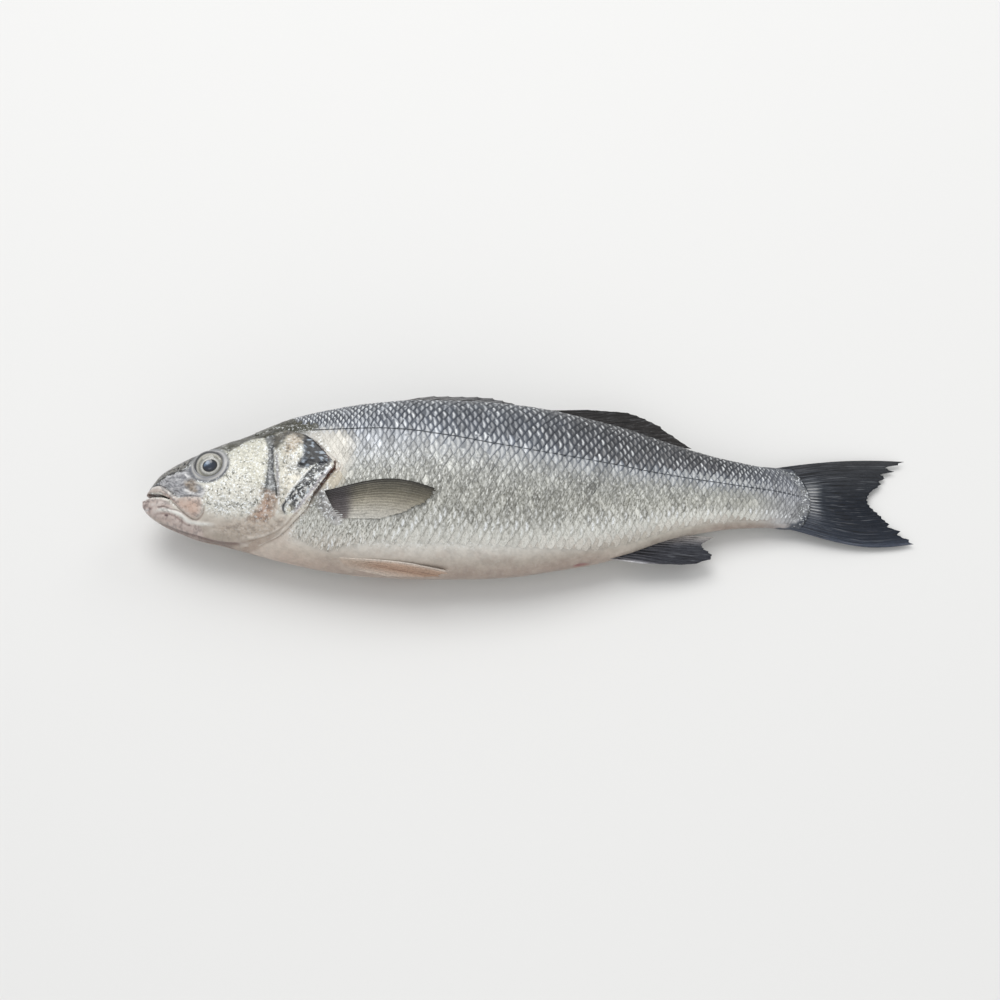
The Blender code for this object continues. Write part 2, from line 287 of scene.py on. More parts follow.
# ----------------------------------------------------------------------------------- fish's form
@dataclass(frozen=True)
class FishForm:
    """Outlines of the straight fish and the way it lies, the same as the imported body's."""

    total_length: float = 415.6
    body_end: float = 361.5
    surface_gap: float = 0.35
    fin_thickness: float = 0.9
    axis_y: float = -1.2
    dorsal: Pairs = (
        (0, -4.5), (2.5, -0.2), (8, 6.0), (14, 9.4), (20, 12.8), (30, 17.5), (45, 23.7), (60, 29.8),
        (80, 38.8), (100, 44.4), (120, 48.1), (150, 50.6), (180, 50.4), (200, 48.9), (220, 46.8),
        (240, 43.1), (260, 38.9), (280, 33.4), (300, 28.0), (320, 24.0), (338, 21.9), (361.5, 22.0))
    ventral: Pairs = (
        (0, -10.0), (4, -15.2), (8, -18.6), (14, -22.4), (20, -25.1), (30, -29.3), (45, -32.9),
        (60, -37.0), (80, -42.3), (100, -46.5), (120, -49.0), (150, -50.6), (180, -50.2),
        (200, -48.9), (220, -45.2), (240, -41.1), (260, -34.9), (280, -26.4), (300, -19.9),
        (320, -16.0), (338, -14.8), (361.5, -18.0))
    half_thickness: Pairs = (
        (0, 2.4), (4, 5.6), (8, 7.7), (14, 10.0), (20, 11.8), (30, 14.4), (45, 17.4), (60, 20.2),
        (80, 24.0), (100, 26.3), (120, 27.8), (145, 28.4), (180, 27.9), (200, 26.9), (220, 25.1),
        (240, 22.6), (260, 19.6), (280, 15.8), (300, 12.5), (320, 10.0), (338, 7.8), (351, 4.8),
        (358, 2.4), (361.5, 1.4))
    back_squareness: Pairs = (
        (0, 2.2), (18, 2.5), (38, 2.9), (56, 2.7), (80, 2.3), (110, 2.1), (361.5, 2.1))
    belly_squareness: float = 2.1
    tail_shear: Pairs = ((0, 0.0), (325, 0.0), (361.5, 9.0))
    midplane_height: Pairs = (
        (0, 25.5), (60, 25.5), (110, 25.2), (150, 24.8), (180, 24.0), (200, 23.5), (225, 21.5),
        (250, 19.3), (275, 16.4), (300, 13.4), (335, 9.6), (352, 8.0), (375, 5.2), (395, 3.2),
        (415.6, 2.3))
    roll_deg: Pairs = ((0, 8.0), (150, 8.0), (250, 6.0), (345, 2.0), (415.6, 0.5))
    gill_edge: Pairs = (
        (30, 66), (53, 80), (62, 90), (76, 99), (87, 105), (92, 102), (107, 94), (116, 91),
        (126, 85), (141, 77), (154, 68), (180, 58))
    gill_edge_rise: float = 1.9
    gill_cover_length: float = 34.0
    gill_sections: tuple[float, float, float] = (28.0, 95.0, 150.0)
    lateral_line: Pairs = (
        (60, 26.6), (94, 24.7), (110, 24.8), (125, 24.8), (142, 23.8), (161, 21.0), (171, 19.4),
        (186, 16.4), (200, 14.1), (210, 12.7), (220, 11.6), (230, 10.7), (245, 9.1), (257, 8.1),
        (268, 7.1), (290, 6.0), (308, 5.3), (324, 4.6), (338, 4.0), (352, 3.5), (365, 3.2))
    underside_clear: float = 0.05

    def gill_edge_at(self, angle: Array) -> Array:
        """s of the gill cover's free edge at each angle."""
        return along(self.gill_edge, turn_of(angle))

    def gill_cover_rise(self, s: Array, angle: Array) -> Array:
        """How far the gill cover stands proud of the head, up to its free edge."""
        turn = turn_of(angle)
        on_side = ramp(turn, 30, 50) * ramp(turn, 172, 122)
        ahead = (s - self.gill_edge_at(angle) + self.gill_cover_length) / self.gill_cover_length
        return self.gill_edge_rise * on_side * ease(ahead)

    def bent_section(self, u: Array, angle: Array) -> Array:
        """s of section number u at each angle: the sections bend until one lies on the gill edge."""
        start, at_edge, end = self.gill_sections
        edge = self.gill_edge_at(angle)
        before = start + (u - start) * (edge - start) / (at_edge - start)
        after = edge + (u - at_edge) * (end - edge) / (end - at_edge)
        return np.where((u < start) | (u > end), u, np.where(u < at_edge, before, after))

    def section_point(self, s: Array, angle: Array, lift: Array | float = 0.0
                      ) -> tuple[Array, Array, Array]:
        """A point of the straight body's surface.

        Args:
            s: Distance of its section from the snout.
            angle: Radians round the section; 0 is the back and a quarter turn the left flank.
            lift: How far the point lies outside the surface.

        Returns:
            Its s, d and w.
        """
        top, bottom = along(self.dorsal, s), along(self.ventral, s)
        middle, half_depth = (top + bottom) / 2, (top - bottom) / 2
        up, out = np.cos(angle), np.sin(angle)
        squareness = np.where(up > 0, along(self.back_squareness, s), self.belly_squareness)
        bulge = np.maximum(1 - np.abs(up) ** squareness, 0) ** (1 / squareness)
        d = middle + (half_depth + lift) * up
        w = (along(self.half_thickness, s) + lift) * bulge * np.sign(out)
        shear = along(self.tail_shear, s) * ((d - middle) / np.maximum(half_depth, 1)) ** 2
        return s - shear, d, w

    def angle_of(self, s: Array | float, d: Array | float) -> Array:
        """Radians round the section, on the left flank, of points at height d of the surface."""
        top, bottom = along(self.dorsal, s), along(self.ventral, s)
        return np.arccos((2 * d - top - bottom) / (top - bottom))

    def at_rest(self, s: Array, d: Array, w: Array, floor: float = 0.0) -> Array:
        """Lays points of the straight fish down.

        Args:
            s: Distances from the snout.
            d: Heights above the axis.
            w: Distances out to the left.
            floor: The lowest height, in mm, that a point may reach.

        Returns:
            Positions in metres in the shared frame, with x, y and z in the last axis.
        """
        s, d, w = np.broadcast_arrays(s, d, w)
        roll = np.radians(along(self.roll_deg, s))
        y = self.axis_y + d * np.cos(roll) - w * np.sin(roll)
        z = along(self.midplane_height, s) + d * np.sin(roll) + w * np.cos(roll)
        return np.stack([s - self.total_length / 2, y, np.maximum(z, floor)], axis=-1) * MM

    def body_at_rest(self, s: Array, angle: Array, lift: Array | float = 0.0) -> Array:
        """Positions, in metres, of points that lie that far outside the lying body's surface."""
        return self.at_rest(*self.section_point(s, angle, lift), floor=self.underside_clear)

    def band_place(self, s: Array, d: Array) -> Array:
        """Place between the lateral line at 0, the back at 1 and the keel at -1."""
        line = along(self.lateral_line, s)
        above = (d - line) / (along(self.dorsal, s) - line)
        below = (d - line) / (line - along(self.ventral, s))
        return np.clip(np.where(d > line, above, below), -1, 1)


# ------------------------------------------------------------------------------------ mesh tools
def grid_faces(rows: int, columns: int, closed: bool = False) -> list[tuple[int, ...]]:
    """Quads between neighbouring points of a grid that is stored row by row.

    Args:
        rows: Rows of points.
        columns: Points in a row.
        closed: Whether each row runs round in a ring.

    Returns:
        Four point numbers for each quad.
    """
    last = columns if closed else columns - 1
    return [(r * columns + c, r * columns + (c + 1) % columns,
             (r + 1) * columns + (c + 1) % columns, (r + 1) * columns + c)
            for r in range(rows - 1) for c in range(last)]


def tube_faces(rows: int, columns: int) -> list[tuple[int, ...]]:
    """Faces of a grid of rings whose ends are closed by fans to two hubs, stored after the grid.

    Args:
        rows: Rings in the grid.
        columns: Points in a ring.

    Returns:
        The quads, then the fan of the first ring, then that of the last.
    """
    count = rows * columns
    last = count - columns
    pairs = [(c, (c + 1) % columns) for c in range(columns)]
    faces = grid_faces(rows, columns, closed=True)
    faces += [(count, b, a) for a, b in pairs]
    return faces + [(count + 1, last + a, last + b) for a, b in pairs]


def ring_normals(points: Array) -> Array:
    """Outward unit normals of a grid whose rows are rings round the fish, from head to tail."""
    back = np.gradient(points, axis=0)
    ring = np.roll(points, -1, axis=1) - np.roll(points, 1, axis=1)
    normal = np.cross(ring, back)
    return normal / np.maximum(np.linalg.norm(normal, axis=-1, keepdims=True), 1e-12)


class Piece:
    """One finished mesh of the fish, with its attributes, bake map, material and place on the frame."""

    def __init__(self, name: str, points: Array, faces: Sequence[Sequence[int]] = (),
                 edges: Sequence[Sequence[int]] = ()) -> None:
        """Makes the mesh.

        Args:
            name: The piece's name.
            points: Positions in metres, one per row.
            faces: Point numbers of each face.
            edges: Point numbers of the edges that belong to no face.
        """
        self.mesh = bpy.data.meshes.new(name)
        self.mesh.from_pydata(points.reshape(-1, 3).tolist(), edges, faces)
        self.mesh.shade_smooth()
        self.thing = bpy.data.objects.new(name, self.mesh)
        bpy.context.scene.collection.objects.link(self.thing)

    def colour(self, name: str, values: Array) -> None:
        """Stores a colour for each point from 0..255 display colours."""
        made = self.mesh.attributes.new(name, "FLOAT_COLOR", "POINT")
        rgba = np.ones((len(self.mesh.vertices), 4))
        rgba[:, :3] = linear(values.reshape(-1, 3))
        made.data.foreach_set("color", rgba.ravel())

    def number(self, name: str, values: Array) -> None:
        """Stores a number for each point."""
        made = self.mesh.attributes.new(name, "FLOAT", "POINT")
        made.data.foreach_set("value", np.asarray(values, float).ravel())

    def vector(self, name: str, values: Array) -> None:
        """Stores a vector for each point."""
        made = self.mesh.attributes.new(name, "FLOAT_VECTOR", "POINT")
        made.data.foreach_set("vector", values.astype(float).ravel())

    def bake_map(self, place: Array) -> None:
        """Lays the piece out flat for baking.

        Args:
            place: A (u, v) for each face corner, from 0 to 1.
        """
        layer = self.mesh.uv_layers.new(name="OFBake")
        layer.data.foreach_set("uv", place.ravel())

    def dress(self, material: bpy.types.Material, slot: str, replaces: Iterable[str] = ()
              ) -> bpy.types.Object:
        """Gives the piece its material and fixes it to the frame.

        Args:
            material: Its finish.
            slot: The record's material slot that the finish belongs to; not used.
            replaces: CAD nodes that the piece stands for.

        Returns:
            The object.
        """
        self.mesh.materials.clear()
        self.mesh.materials.append(material)
        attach(self.thing, "root")
        for node in replaces:
            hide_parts(node)
        count = sum(len(p.vertices) - 2 for p in self.mesh.polygons)
        log.info("%s: %d triangles", self.thing.name, count)
        return self.thing


def corner_map(faces: Sequence[Sequence[int]], place: Array) -> Array:
    """Reads a (u, v) for each face corner from one for each point."""
    corners = np.fromiter((i for f in faces for i in f), int)
    return place.reshape(-1, 2)[corners]


# ------------------------------------------------------------------------------ geometry by nodes
class Nodes:
    """A node tree that is written one node at a time."""

    def __init__(self, tree: bpy.types.NodeTree) -> None:
        """Starts from a tree."""
        self.tree = tree

    def add(self, kind: str, sockets: dict[str | int, object] | None = None,
            **settings: object) -> bpy.types.Node:
        """Adds a node.

        Args:
            kind: Its type.
            sockets: What each input is linked to or set to, by name or number.
            settings: Properties of the node.

        Returns:
            The node.
        """
        node = self.tree.nodes.new(kind)
        for key, value in settings.items():
            setattr(node, key, value)
        for key, value in (sockets or {}).items():
            self.feed(node.inputs[key], value)
        return node

    def feed(self, socket: Socket, value: object) -> None:
        """Links or sets an input."""
        if isinstance(value, Socket):
            self.tree.links.new(value, socket)
        else:
            socket.default_value = value


class NodeShape(Nodes):
    """A Geometry Nodes tree with named inputs, run once on a carrier mesh to give a plain mesh."""

    def __init__(self, name: str) -> None:
        """Starts an empty tree with one geometry input and output."""
        super().__init__(bpy.data.node_groups.new(name, "GeometryNodeTree"))
        self.tree.interface.new_socket("Geometry", in_out="INPUT", socket_type="NodeSocketGeometry")
        self.tree.interface.new_socket("Geometry", in_out="OUTPUT", socket_type="NodeSocketGeometry")
        self.source = self.tree.nodes.new("NodeGroupInput")
        self.values: dict[str, object] = {}

    def input(self, name: str, kind: str, value: object) -> Socket:
        """Adds a named input to the tree with the value that it is run with, and returns its socket."""
        item = self.tree.interface.new_socket(name, in_out="INPUT", socket_type="NodeSocket" + kind)
        self.values[item.identifier] = value
        return self.source.outputs[name]

    def attribute(self, name: str, kind: str) -> Socket:
        """The value of a named attribute of the carrier mesh."""
        return self.add("GeometryNodeInputNamedAttribute", {"Name": name}, data_type=kind).outputs[0]

    def grow(self, shape: Socket, carrier: Piece, finish: bpy.types.Material) -> None:
        """Ends the tree, runs it, and puts the plain mesh that it gives in the carrier's place.

        Args:
            shape: The last geometry of the tree.
            carrier: The piece whose mesh the tree starts from and replaces.
            finish: The material that the tree sets.
        """
        real = self.add("GeometryNodeRealizeInstances", {"Geometry": shape})
        smooth = self.add("GeometryNodeSetShadeSmooth", {"Geometry": real.outputs[0]})
        chosen = self.input("Finish", "Material", finish)
        dressed = self.add("GeometryNodeSetMaterial", {"Geometry": smooth.outputs[0], "Material": chosen})
        self.add("NodeGroupOutput", {0: dressed.outputs[0]})
        modifier = carrier.thing.modifiers.new(self.tree.name, "NODES")
        modifier.node_group = self.tree
        for identifier, value in self.values.items():
            modifier[identifier] = value
        graph = bpy.context.evaluated_depsgraph_get()
        name = carrier.mesh.name
        made = bpy.data.meshes.new_from_object(carrier.thing.evaluated_get(graph), depsgraph=graph)
        carrier.thing.modifiers.remove(modifier)
        carrier.thing.data = made
        bpy.data.meshes.remove(carrier.mesh)
        made.name = name
        carrier.mesh = made


@dataclass
class Tubes:
    """Round tubes along many short paths, as fin rays and the pores of the lateral line are."""

    name: str
    sides: int = 6
    paths: list[Array] = field(default_factory=list)
    radii: list[Array] = field(default_factory=list)
    tints: list[Array] = field(default_factory=list)

    def add(self, points: Array, radius: Array | float, tint: Array | Colour) -> None:
        """Adds a path.

        Args:
            points: Its points in metres.
            radius: The tube's radius in mm at each point.
            tint: Its colour at each point.
        """
        self.paths.append(points)
        self.radii.append(np.broadcast_to(radius, len(points)))
        self.tints.append(np.broadcast_to(tint, (len(points), 3)))

    def build(self, finish: bpy.types.Material) -> Piece:
        """Grows the tubes by Geometry Nodes and returns them as one piece."""
        ends = np.cumsum([len(path) for path in self.paths])
        edges = [(i, i + 1) for path, end in zip(self.paths, ends)
                 for i in range(end - len(path), end - 1)]
        piece = Piece(self.name, np.vstack(self.paths), edges=edges)
        piece.number("radius_mm", np.concatenate(self.radii))
        piece.colour("tint", np.vstack(self.tints))
        shape = NodeShape(self.name + "_tubes")
        sides = shape.input("Sides", "Int", self.sides)
        size = shape.input("Millimetre", "Float", MM)
        radius = shape.add("ShaderNodeMath", {0: shape.attribute("radius_mm", "FLOAT"), 1: size},
                           operation="MULTIPLY")
        line = shape.add("GeometryNodeMeshToCurve", {"Mesh": shape.source.outputs["Geometry"]})
        ring = shape.add("GeometryNodeCurvePrimitiveCircle", {"Resolution": sides, "Radius": 1.0})
        tube = shape.add("GeometryNodeCurveToMesh",
                         {"Curve": line.outputs[0], "Profile Curve": ring.outputs[0],
                          "Scale": radius.outputs[0], "Fill Caps": True})
        shape.grow(tube.outputs[0], piece, finish)
        return piece


# ------------------------------------------------------------------------------------- finishes
class Finish(Nodes):
    """Builds one material's nodes round its Principled BSDF."""

    def __init__(self, name: str, **constants: float) -> None:
        """Starts a material.

        Args:
            name: The material's name.
            constants: Values of the shader's sockets that are the same all over, in lower case with
                underscores for spaces.
        """
        self.material = bpy.data.materials.new(name)
        self.material.use_nodes = True
        super().__init__(self.material.node_tree)
        self.surface = self.tree.nodes["Principled BSDF"]
        self.shade(**constants)

    def shade(self, **sockets: object) -> None:
        """Feeds the shader's own inputs, named in lower case with underscores for spaces."""
        by_name = {s.name.lower().replace(" ", "_"): s for s in self.surface.inputs}
        for key, value in sockets.items():
            self.feed(by_name[key], value)

    def place(self) -> Socket:
        """Position on the piece, in metres."""
        return self.add("ShaderNodeTexCoord").outputs["Object"]

    def attribute(self, name: str, output: str = "Color") -> Socket:
        """A named colour attribute."""
        return self.add("ShaderNodeAttribute", attribute_name=name).outputs[output]

    def number(self, name: str) -> Socket:
        """A named number attribute."""
        return self.attribute(name, "Fac")

    def join(self, x: object, y: object, z: object) -> Socket:
        """Three numbers as one place."""
        return self.add("ShaderNodeCombineXYZ", {0: x, 1: y, 2: z}).outputs[0]

    def calc(self, operation: str, a: object, b: object = 0.0, c: object = 0.0) -> Socket:
        """One step of arithmetic."""
        return self.add("ShaderNodeMath", {0: a, 1: b, 2: c}, operation=operation).outputs[0]

    def times(self, a: object, b: object) -> Socket:
        """The product of two numbers."""
        return self.calc("MULTIPLY", a, b)

    def remap(self, value: object, low: object, high: object, to_low: object = 0.0,
              to_high: object = 1.0) -> Socket:
        """A smooth step from to_low where value is low to to_high where it is high."""
        node = self.add("ShaderNodeMapRange", {0: value, 1: low, 2: high, 3: to_low, 4: to_high},
                        interpolation_type="SMOOTHSTEP")
        return node.outputs[0]

    def blend(self, factor: object, a: object, b: object, mode: str = "MIX") -> Socket:
        """Mixes two colours."""
        node = self.add("ShaderNodeMix", data_type="RGBA", blend_type=mode)
        for number, value in ((0, factor), (6, a), (7, b)):
            self.feed(node.inputs[number], value)
        return node.outputs[2]

    def noise(self, size_mm: float, detail: float = 2.0, roughness: float = 0.5,
              at: Socket | None = None) -> Socket:
        """Soft noise whose spots are about size_mm across, or one unit of a place of its own."""
        scale = 1 / (size_mm * MM) if at is None else 1 / size_mm
        node = self.add("ShaderNodeTexNoise",
                        {"Vector": at or self.place(), "Scale": scale, "Detail": detail,
                         "Roughness": roughness})
        return node.outputs["Fac"]

    def cells(self, size_mm: float, feature: str = "F1", at: Socket | None = None) -> Socket:
        """Distance to the nearest of scattered points about size_mm apart, or to the cells' edges."""
        node = self.add("ShaderNodeTexVoronoi",
                        {"Vector": at or self.place(), "Scale": 1 / (size_mm * MM)}, feature=feature)
        return node.outputs["Distance"]

    def bump(self, height: Socket, depth_mm: float, strength: float = 1.0,
             after: Socket | None = None) -> Socket:
        """Relief finer than the mesh, that deep, on top of any earlier relief."""
        sockets: dict[str | int, object] = {"Strength": strength, "Distance": depth_mm * MM,
                                            "Height": height}
        if after is not None:
            sockets["Normal"] = after
        return self.add("ShaderNodeBump", sockets).outputs["Normal"]


def rgba(colour: Colour) -> tuple[float, float, float, float]:
    """A display colour as a linear RGBA value."""
    return (*linear(colour).tolist(), 1.0)


@dataclass(frozen=True)
class SkinFinish:
    """Wet smooth skin of the head and trunk, with fine dark specks, painted glints and small embedded
    scales.
    """

    name: str = "wet_skin"
    speck: Colour = (88, 88, 78)
    glint: Colour = (240, 243, 244)
    cell_mm: float = 1.4
    depth_mm: float = 0.16

    def build(self) -> bpy.types.Material:
        """Makes the material."""
        f = Finish(self.name, specular_ior_level=0.36, coat_weight=0.22, coat_roughness=0.16,
                   coat_ior=1.36)
        speckle = f.number("speckle")
        cells = f.cells(self.cell_mm)
        grain = f.noise(0.68, 2.0, 0.6)
        cloud = f.noise(4.5, 3.0, 0.55)
        specks = f.noise(1.15, 2.0, 0.6)
        glint_spots = f.noise(1.35, 2.0, 0.65)
        spots = f.times(f.remap(specks, 0.535, 0.63), f.remap(cloud, 0.36, 0.62, 0.2, 1.0))
        dark = f.times(f.times(spots, speckle), 0.9)
        # Painted glints: light spots in the glint colour where the skin is speckled.
        light = f.times(f.times(f.remap(glint_spots, 0.53, 0.63), speckle), 0.8)
        base = f.blend(f.remap(cloud, 0.3, 0.7, 0.0, 0.16), f.attribute("tint"), rgba((120, 112, 104)),
                       "MULTIPLY")
        colour = f.blend(dark, f.blend(light, base, rgba(self.glint)), rgba(self.speck))
        relief = f.calc("ADD", f.times(cells, speckle), f.times(grain, 0.25))
        f.shade(base_color=colour, metallic=f.times(speckle, 0.16),
                roughness=f.remap(grain, 0.3, 0.8, 0.3, 0.46),
                normal=f.bump(relief, self.depth_mm, 0.8))
        return f.material


@dataclass(frozen=True)
class ScaleFinish:
    """Silvery scales: a painted glint, a darker rim, and strokes of pigment, painted shade and
    highlights.
    """

    name: str = "silver_scales"
    glint: Colour = (238, 240, 241)
    dark_stroke: Colour = (96, 95, 84)
    highlight_stroke: Colour = (228, 228, 222)
    growth_rings: float = 9.0
    stroke_mm: tuple[float, float] = (0.78, 1.7)
    stroke_lean_deg: float = -16.0

    def build(self) -> bpy.types.Material:
        """Makes the material."""
        f = Finish(self.name, specular_ior_level=0.4, coat_weight=0.1, coat_roughness=0.22, coat_ior=1.36)
        across = f.add("ShaderNodeUVMap", uv_map="Scale")
        parts = f.add("ShaderNodeSeparateXYZ", {0: across.outputs[0]})
        side, reach = parts.outputs["X"], parts.outputs["Y"]
        rim, pick, stroke = f.number("rim"), f.number("pick"), f.number("stroke")
        edge = f.calc("SUBTRACT", 1.0, reach)
        grain = f.noise(0.5, 2.0, 0.6)
        wobble = f.calc("MULTIPLY_ADD", grain, 0.26, -0.13)
        # The rim is dark with pigment and painted shade; the root, under the neighbours' free edges, with
        # painted shade and pigment.
        at_rim = f.remap(f.calc("ADD", edge, wobble), rim, f.times(rim, 0.3))
        root = f.remap(f.calc("ADD", reach, wobble), 0.56, 0.42, 0.0, 0.8)
        dark = f.times(f.calc("MAXIMUM", at_rim, root), f.number("rim_strength"))
        narrow, long = (mm * MM for mm in self.stroke_mm)
        leaning = f.add("ShaderNodeMapping",
                        {"Vector": f.place(), "Rotation": (0.0, 0.0, math.radians(self.stroke_lean_deg)),
                         "Scale": (narrow, long, long)}, vector_type="TEXTURE")
        strokes = f.noise(1.0, 1.6, 0.55, at=leaning.outputs[0])
        # Dark strokes are pigment and painted shade; light strokes are painted highlights.
        dark_stroke = f.times(f.remap(strokes, 0.5, 0.66), f.times(stroke, 0.85))
        highlight_stroke = f.times(f.remap(strokes, 0.47, 0.3), stroke)
        lean = f.times(f.calc("SUBTRACT", side, 0.5), f.number("slant"))
        middle = f.calc("MULTIPLY_ADD", pick, 0.14, 0.6)
        from_middle = f.calc("ABSOLUTE", f.calc("SUBTRACT", f.calc("ADD", reach, lean), middle))
        from_axis = f.calc("ABSOLUTE", f.calc("SUBTRACT", side, 0.5))
        shine = f.number("glint")
        # A painted glint streaks across the middle of each scale.
        streak = f.times(f.remap(f.calc("ADD", from_middle, wobble),
                                            f.calc("MULTIPLY_ADD", shine, 0.15, 0.085), 0.0),
                        f.remap(from_axis, 0.38, 0.13))
        streak = f.times(streak, shine)
        body = f.blend(highlight_stroke, f.attribute("tint"), rgba(self.highlight_stroke))
        body = f.blend(streak, body, rgba(self.glint))
        body = f.blend(dark_stroke, body, rgba(self.dark_stroke))
        body = f.blend(f.remap(grain, 0.35, 0.7, 0.0, 0.28), body, rgba((122, 122, 124)), "MULTIPLY")
        colour = f.blend(dark, body, f.attribute("rim_tint"))
        rings = f.calc("SINE", f.times(edge, self.growth_rings * 2 * math.pi))
        dome = f.times(f.times(side, f.calc("SUBTRACT", 1.0, side)), 3.0)
        relief = f.calc("ADD", f.calc("MULTIPLY_ADD", rings, 0.08, dome), f.times(grain, 0.5))
        f.shade(base_color=colour, metallic=f.calc("MULTIPLY_ADD", dark, -0.12, 0.16),
                roughness=f.remap(grain, 0.3, 0.75, 0.34, 0.52),
                normal=f.bump(relief, 0.12, 0.6))
        return f.material


@dataclass(frozen=True)
class FinFinish:
    """Wet fin membrane or its rays, tinted along each fin and streaked along its rays."""

    name: str
    fine_mm: float = 0.8
    contrast: float = 0.35
    roughness: float = 0.5
    streaks: float = 0.0

    def build(self) -> bpy.types.Material:
        """Makes the material."""
        f = Finish(self.name, specular_ior_level=0.22, coat_weight=0.03, coat_roughness=0.25,
                   coat_ior=1.36)
        fine = f.noise(self.fine_mm, 3.0, 0.6)
        colour = f.blend(f.remap(fine, 0.35, 0.7, 0.0, self.contrast), f.attribute("tint"),
                         rgba((60, 60, 66)), "MULTIPLY")
        relief = fine
        if self.streaks:
            along_ray = f.join(f.times(f.number("across"), 2.4), f.times(f.number("out"), 3.0), 0.0)
            streak = f.noise(1.0, 3.0, 0.6, at=along_ray)
            colour = f.blend(f.remap(streak, 0.5, 0.62, 0.0, self.streaks), colour, rgba((70, 72, 78)),
                             "MULTIPLY")
            colour = f.blend(f.remap(streak, 0.46, 0.34, 0.0, self.streaks * 0.2), colour,
                             rgba((168, 170, 174)))
            relief = f.calc("ADD", fine, f.times(streak, 2.0))
        f.shade(base_color=colour,
                roughness=f.remap(fine, 0.3, 0.8, self.roughness - 0.08, self.roughness + 0.1),
                normal=f.bump(relief, 0.1, 0.6))
        return f.material


@dataclass(frozen=True)
class EyeFinish:
    """A wet eye: a dark pupil with a painted reflection, a bright ring round it, a gold-grey iris and a
    dark outer line.
    """

    name: str = "wet_eye"
    rings: tuple[tuple[float, Colour], ...] = (
        (0.0, (30, 44, 62)), (0.3, (20, 30, 46)), (0.41, (10, 13, 20)), (0.44, (20, 20, 22)),
        (0.47, (190, 188, 180)), (0.53, (196, 195, 190)), (0.6, (146, 145, 138)),
        (0.68, (132, 130, 120)), (0.75, (182, 179, 168)), (0.81, (170, 167, 160)),
        (0.86, (92, 92, 90)), (0.91, (44, 45, 46)), (1.0, (34, 36, 40)))
    haze: Colour = (116, 138, 162)

    def build(self) -> bpy.types.Material:
        """Makes the material."""
        f = Finish(self.name, specular_ior_level=0.6, coat_weight=1.0, coat_roughness=0.03, coat_ior=1.4)
        painted = f.add("ShaderNodeValToRGB", {0: f.number("from_pupil")})
        stops = painted.color_ramp.elements
        for stop, (where, colour) in zip(stops, (self.rings[0], self.rings[-1])):
            stop.position, stop.color = where, rgba(colour)
        for where, colour in self.rings[1:-1]:
            stops.new(where).color = rgba(colour)
        flecks = f.noise(0.7, 3.0, 0.6)
        colour = f.blend(f.remap(flecks, 0.4, 0.7, 0.0, 0.35), painted.outputs[0], rgba((110, 112, 104)),
                         "MULTIPLY")
        # Painted bluish reflection on the pupil.
        colour = f.blend(f.number("haze"), colour, rgba(self.haze))
        f.shade(base_color=colour, roughness=0.18, normal=f.bump(flecks, 0.03, 0.3))
        return f.material


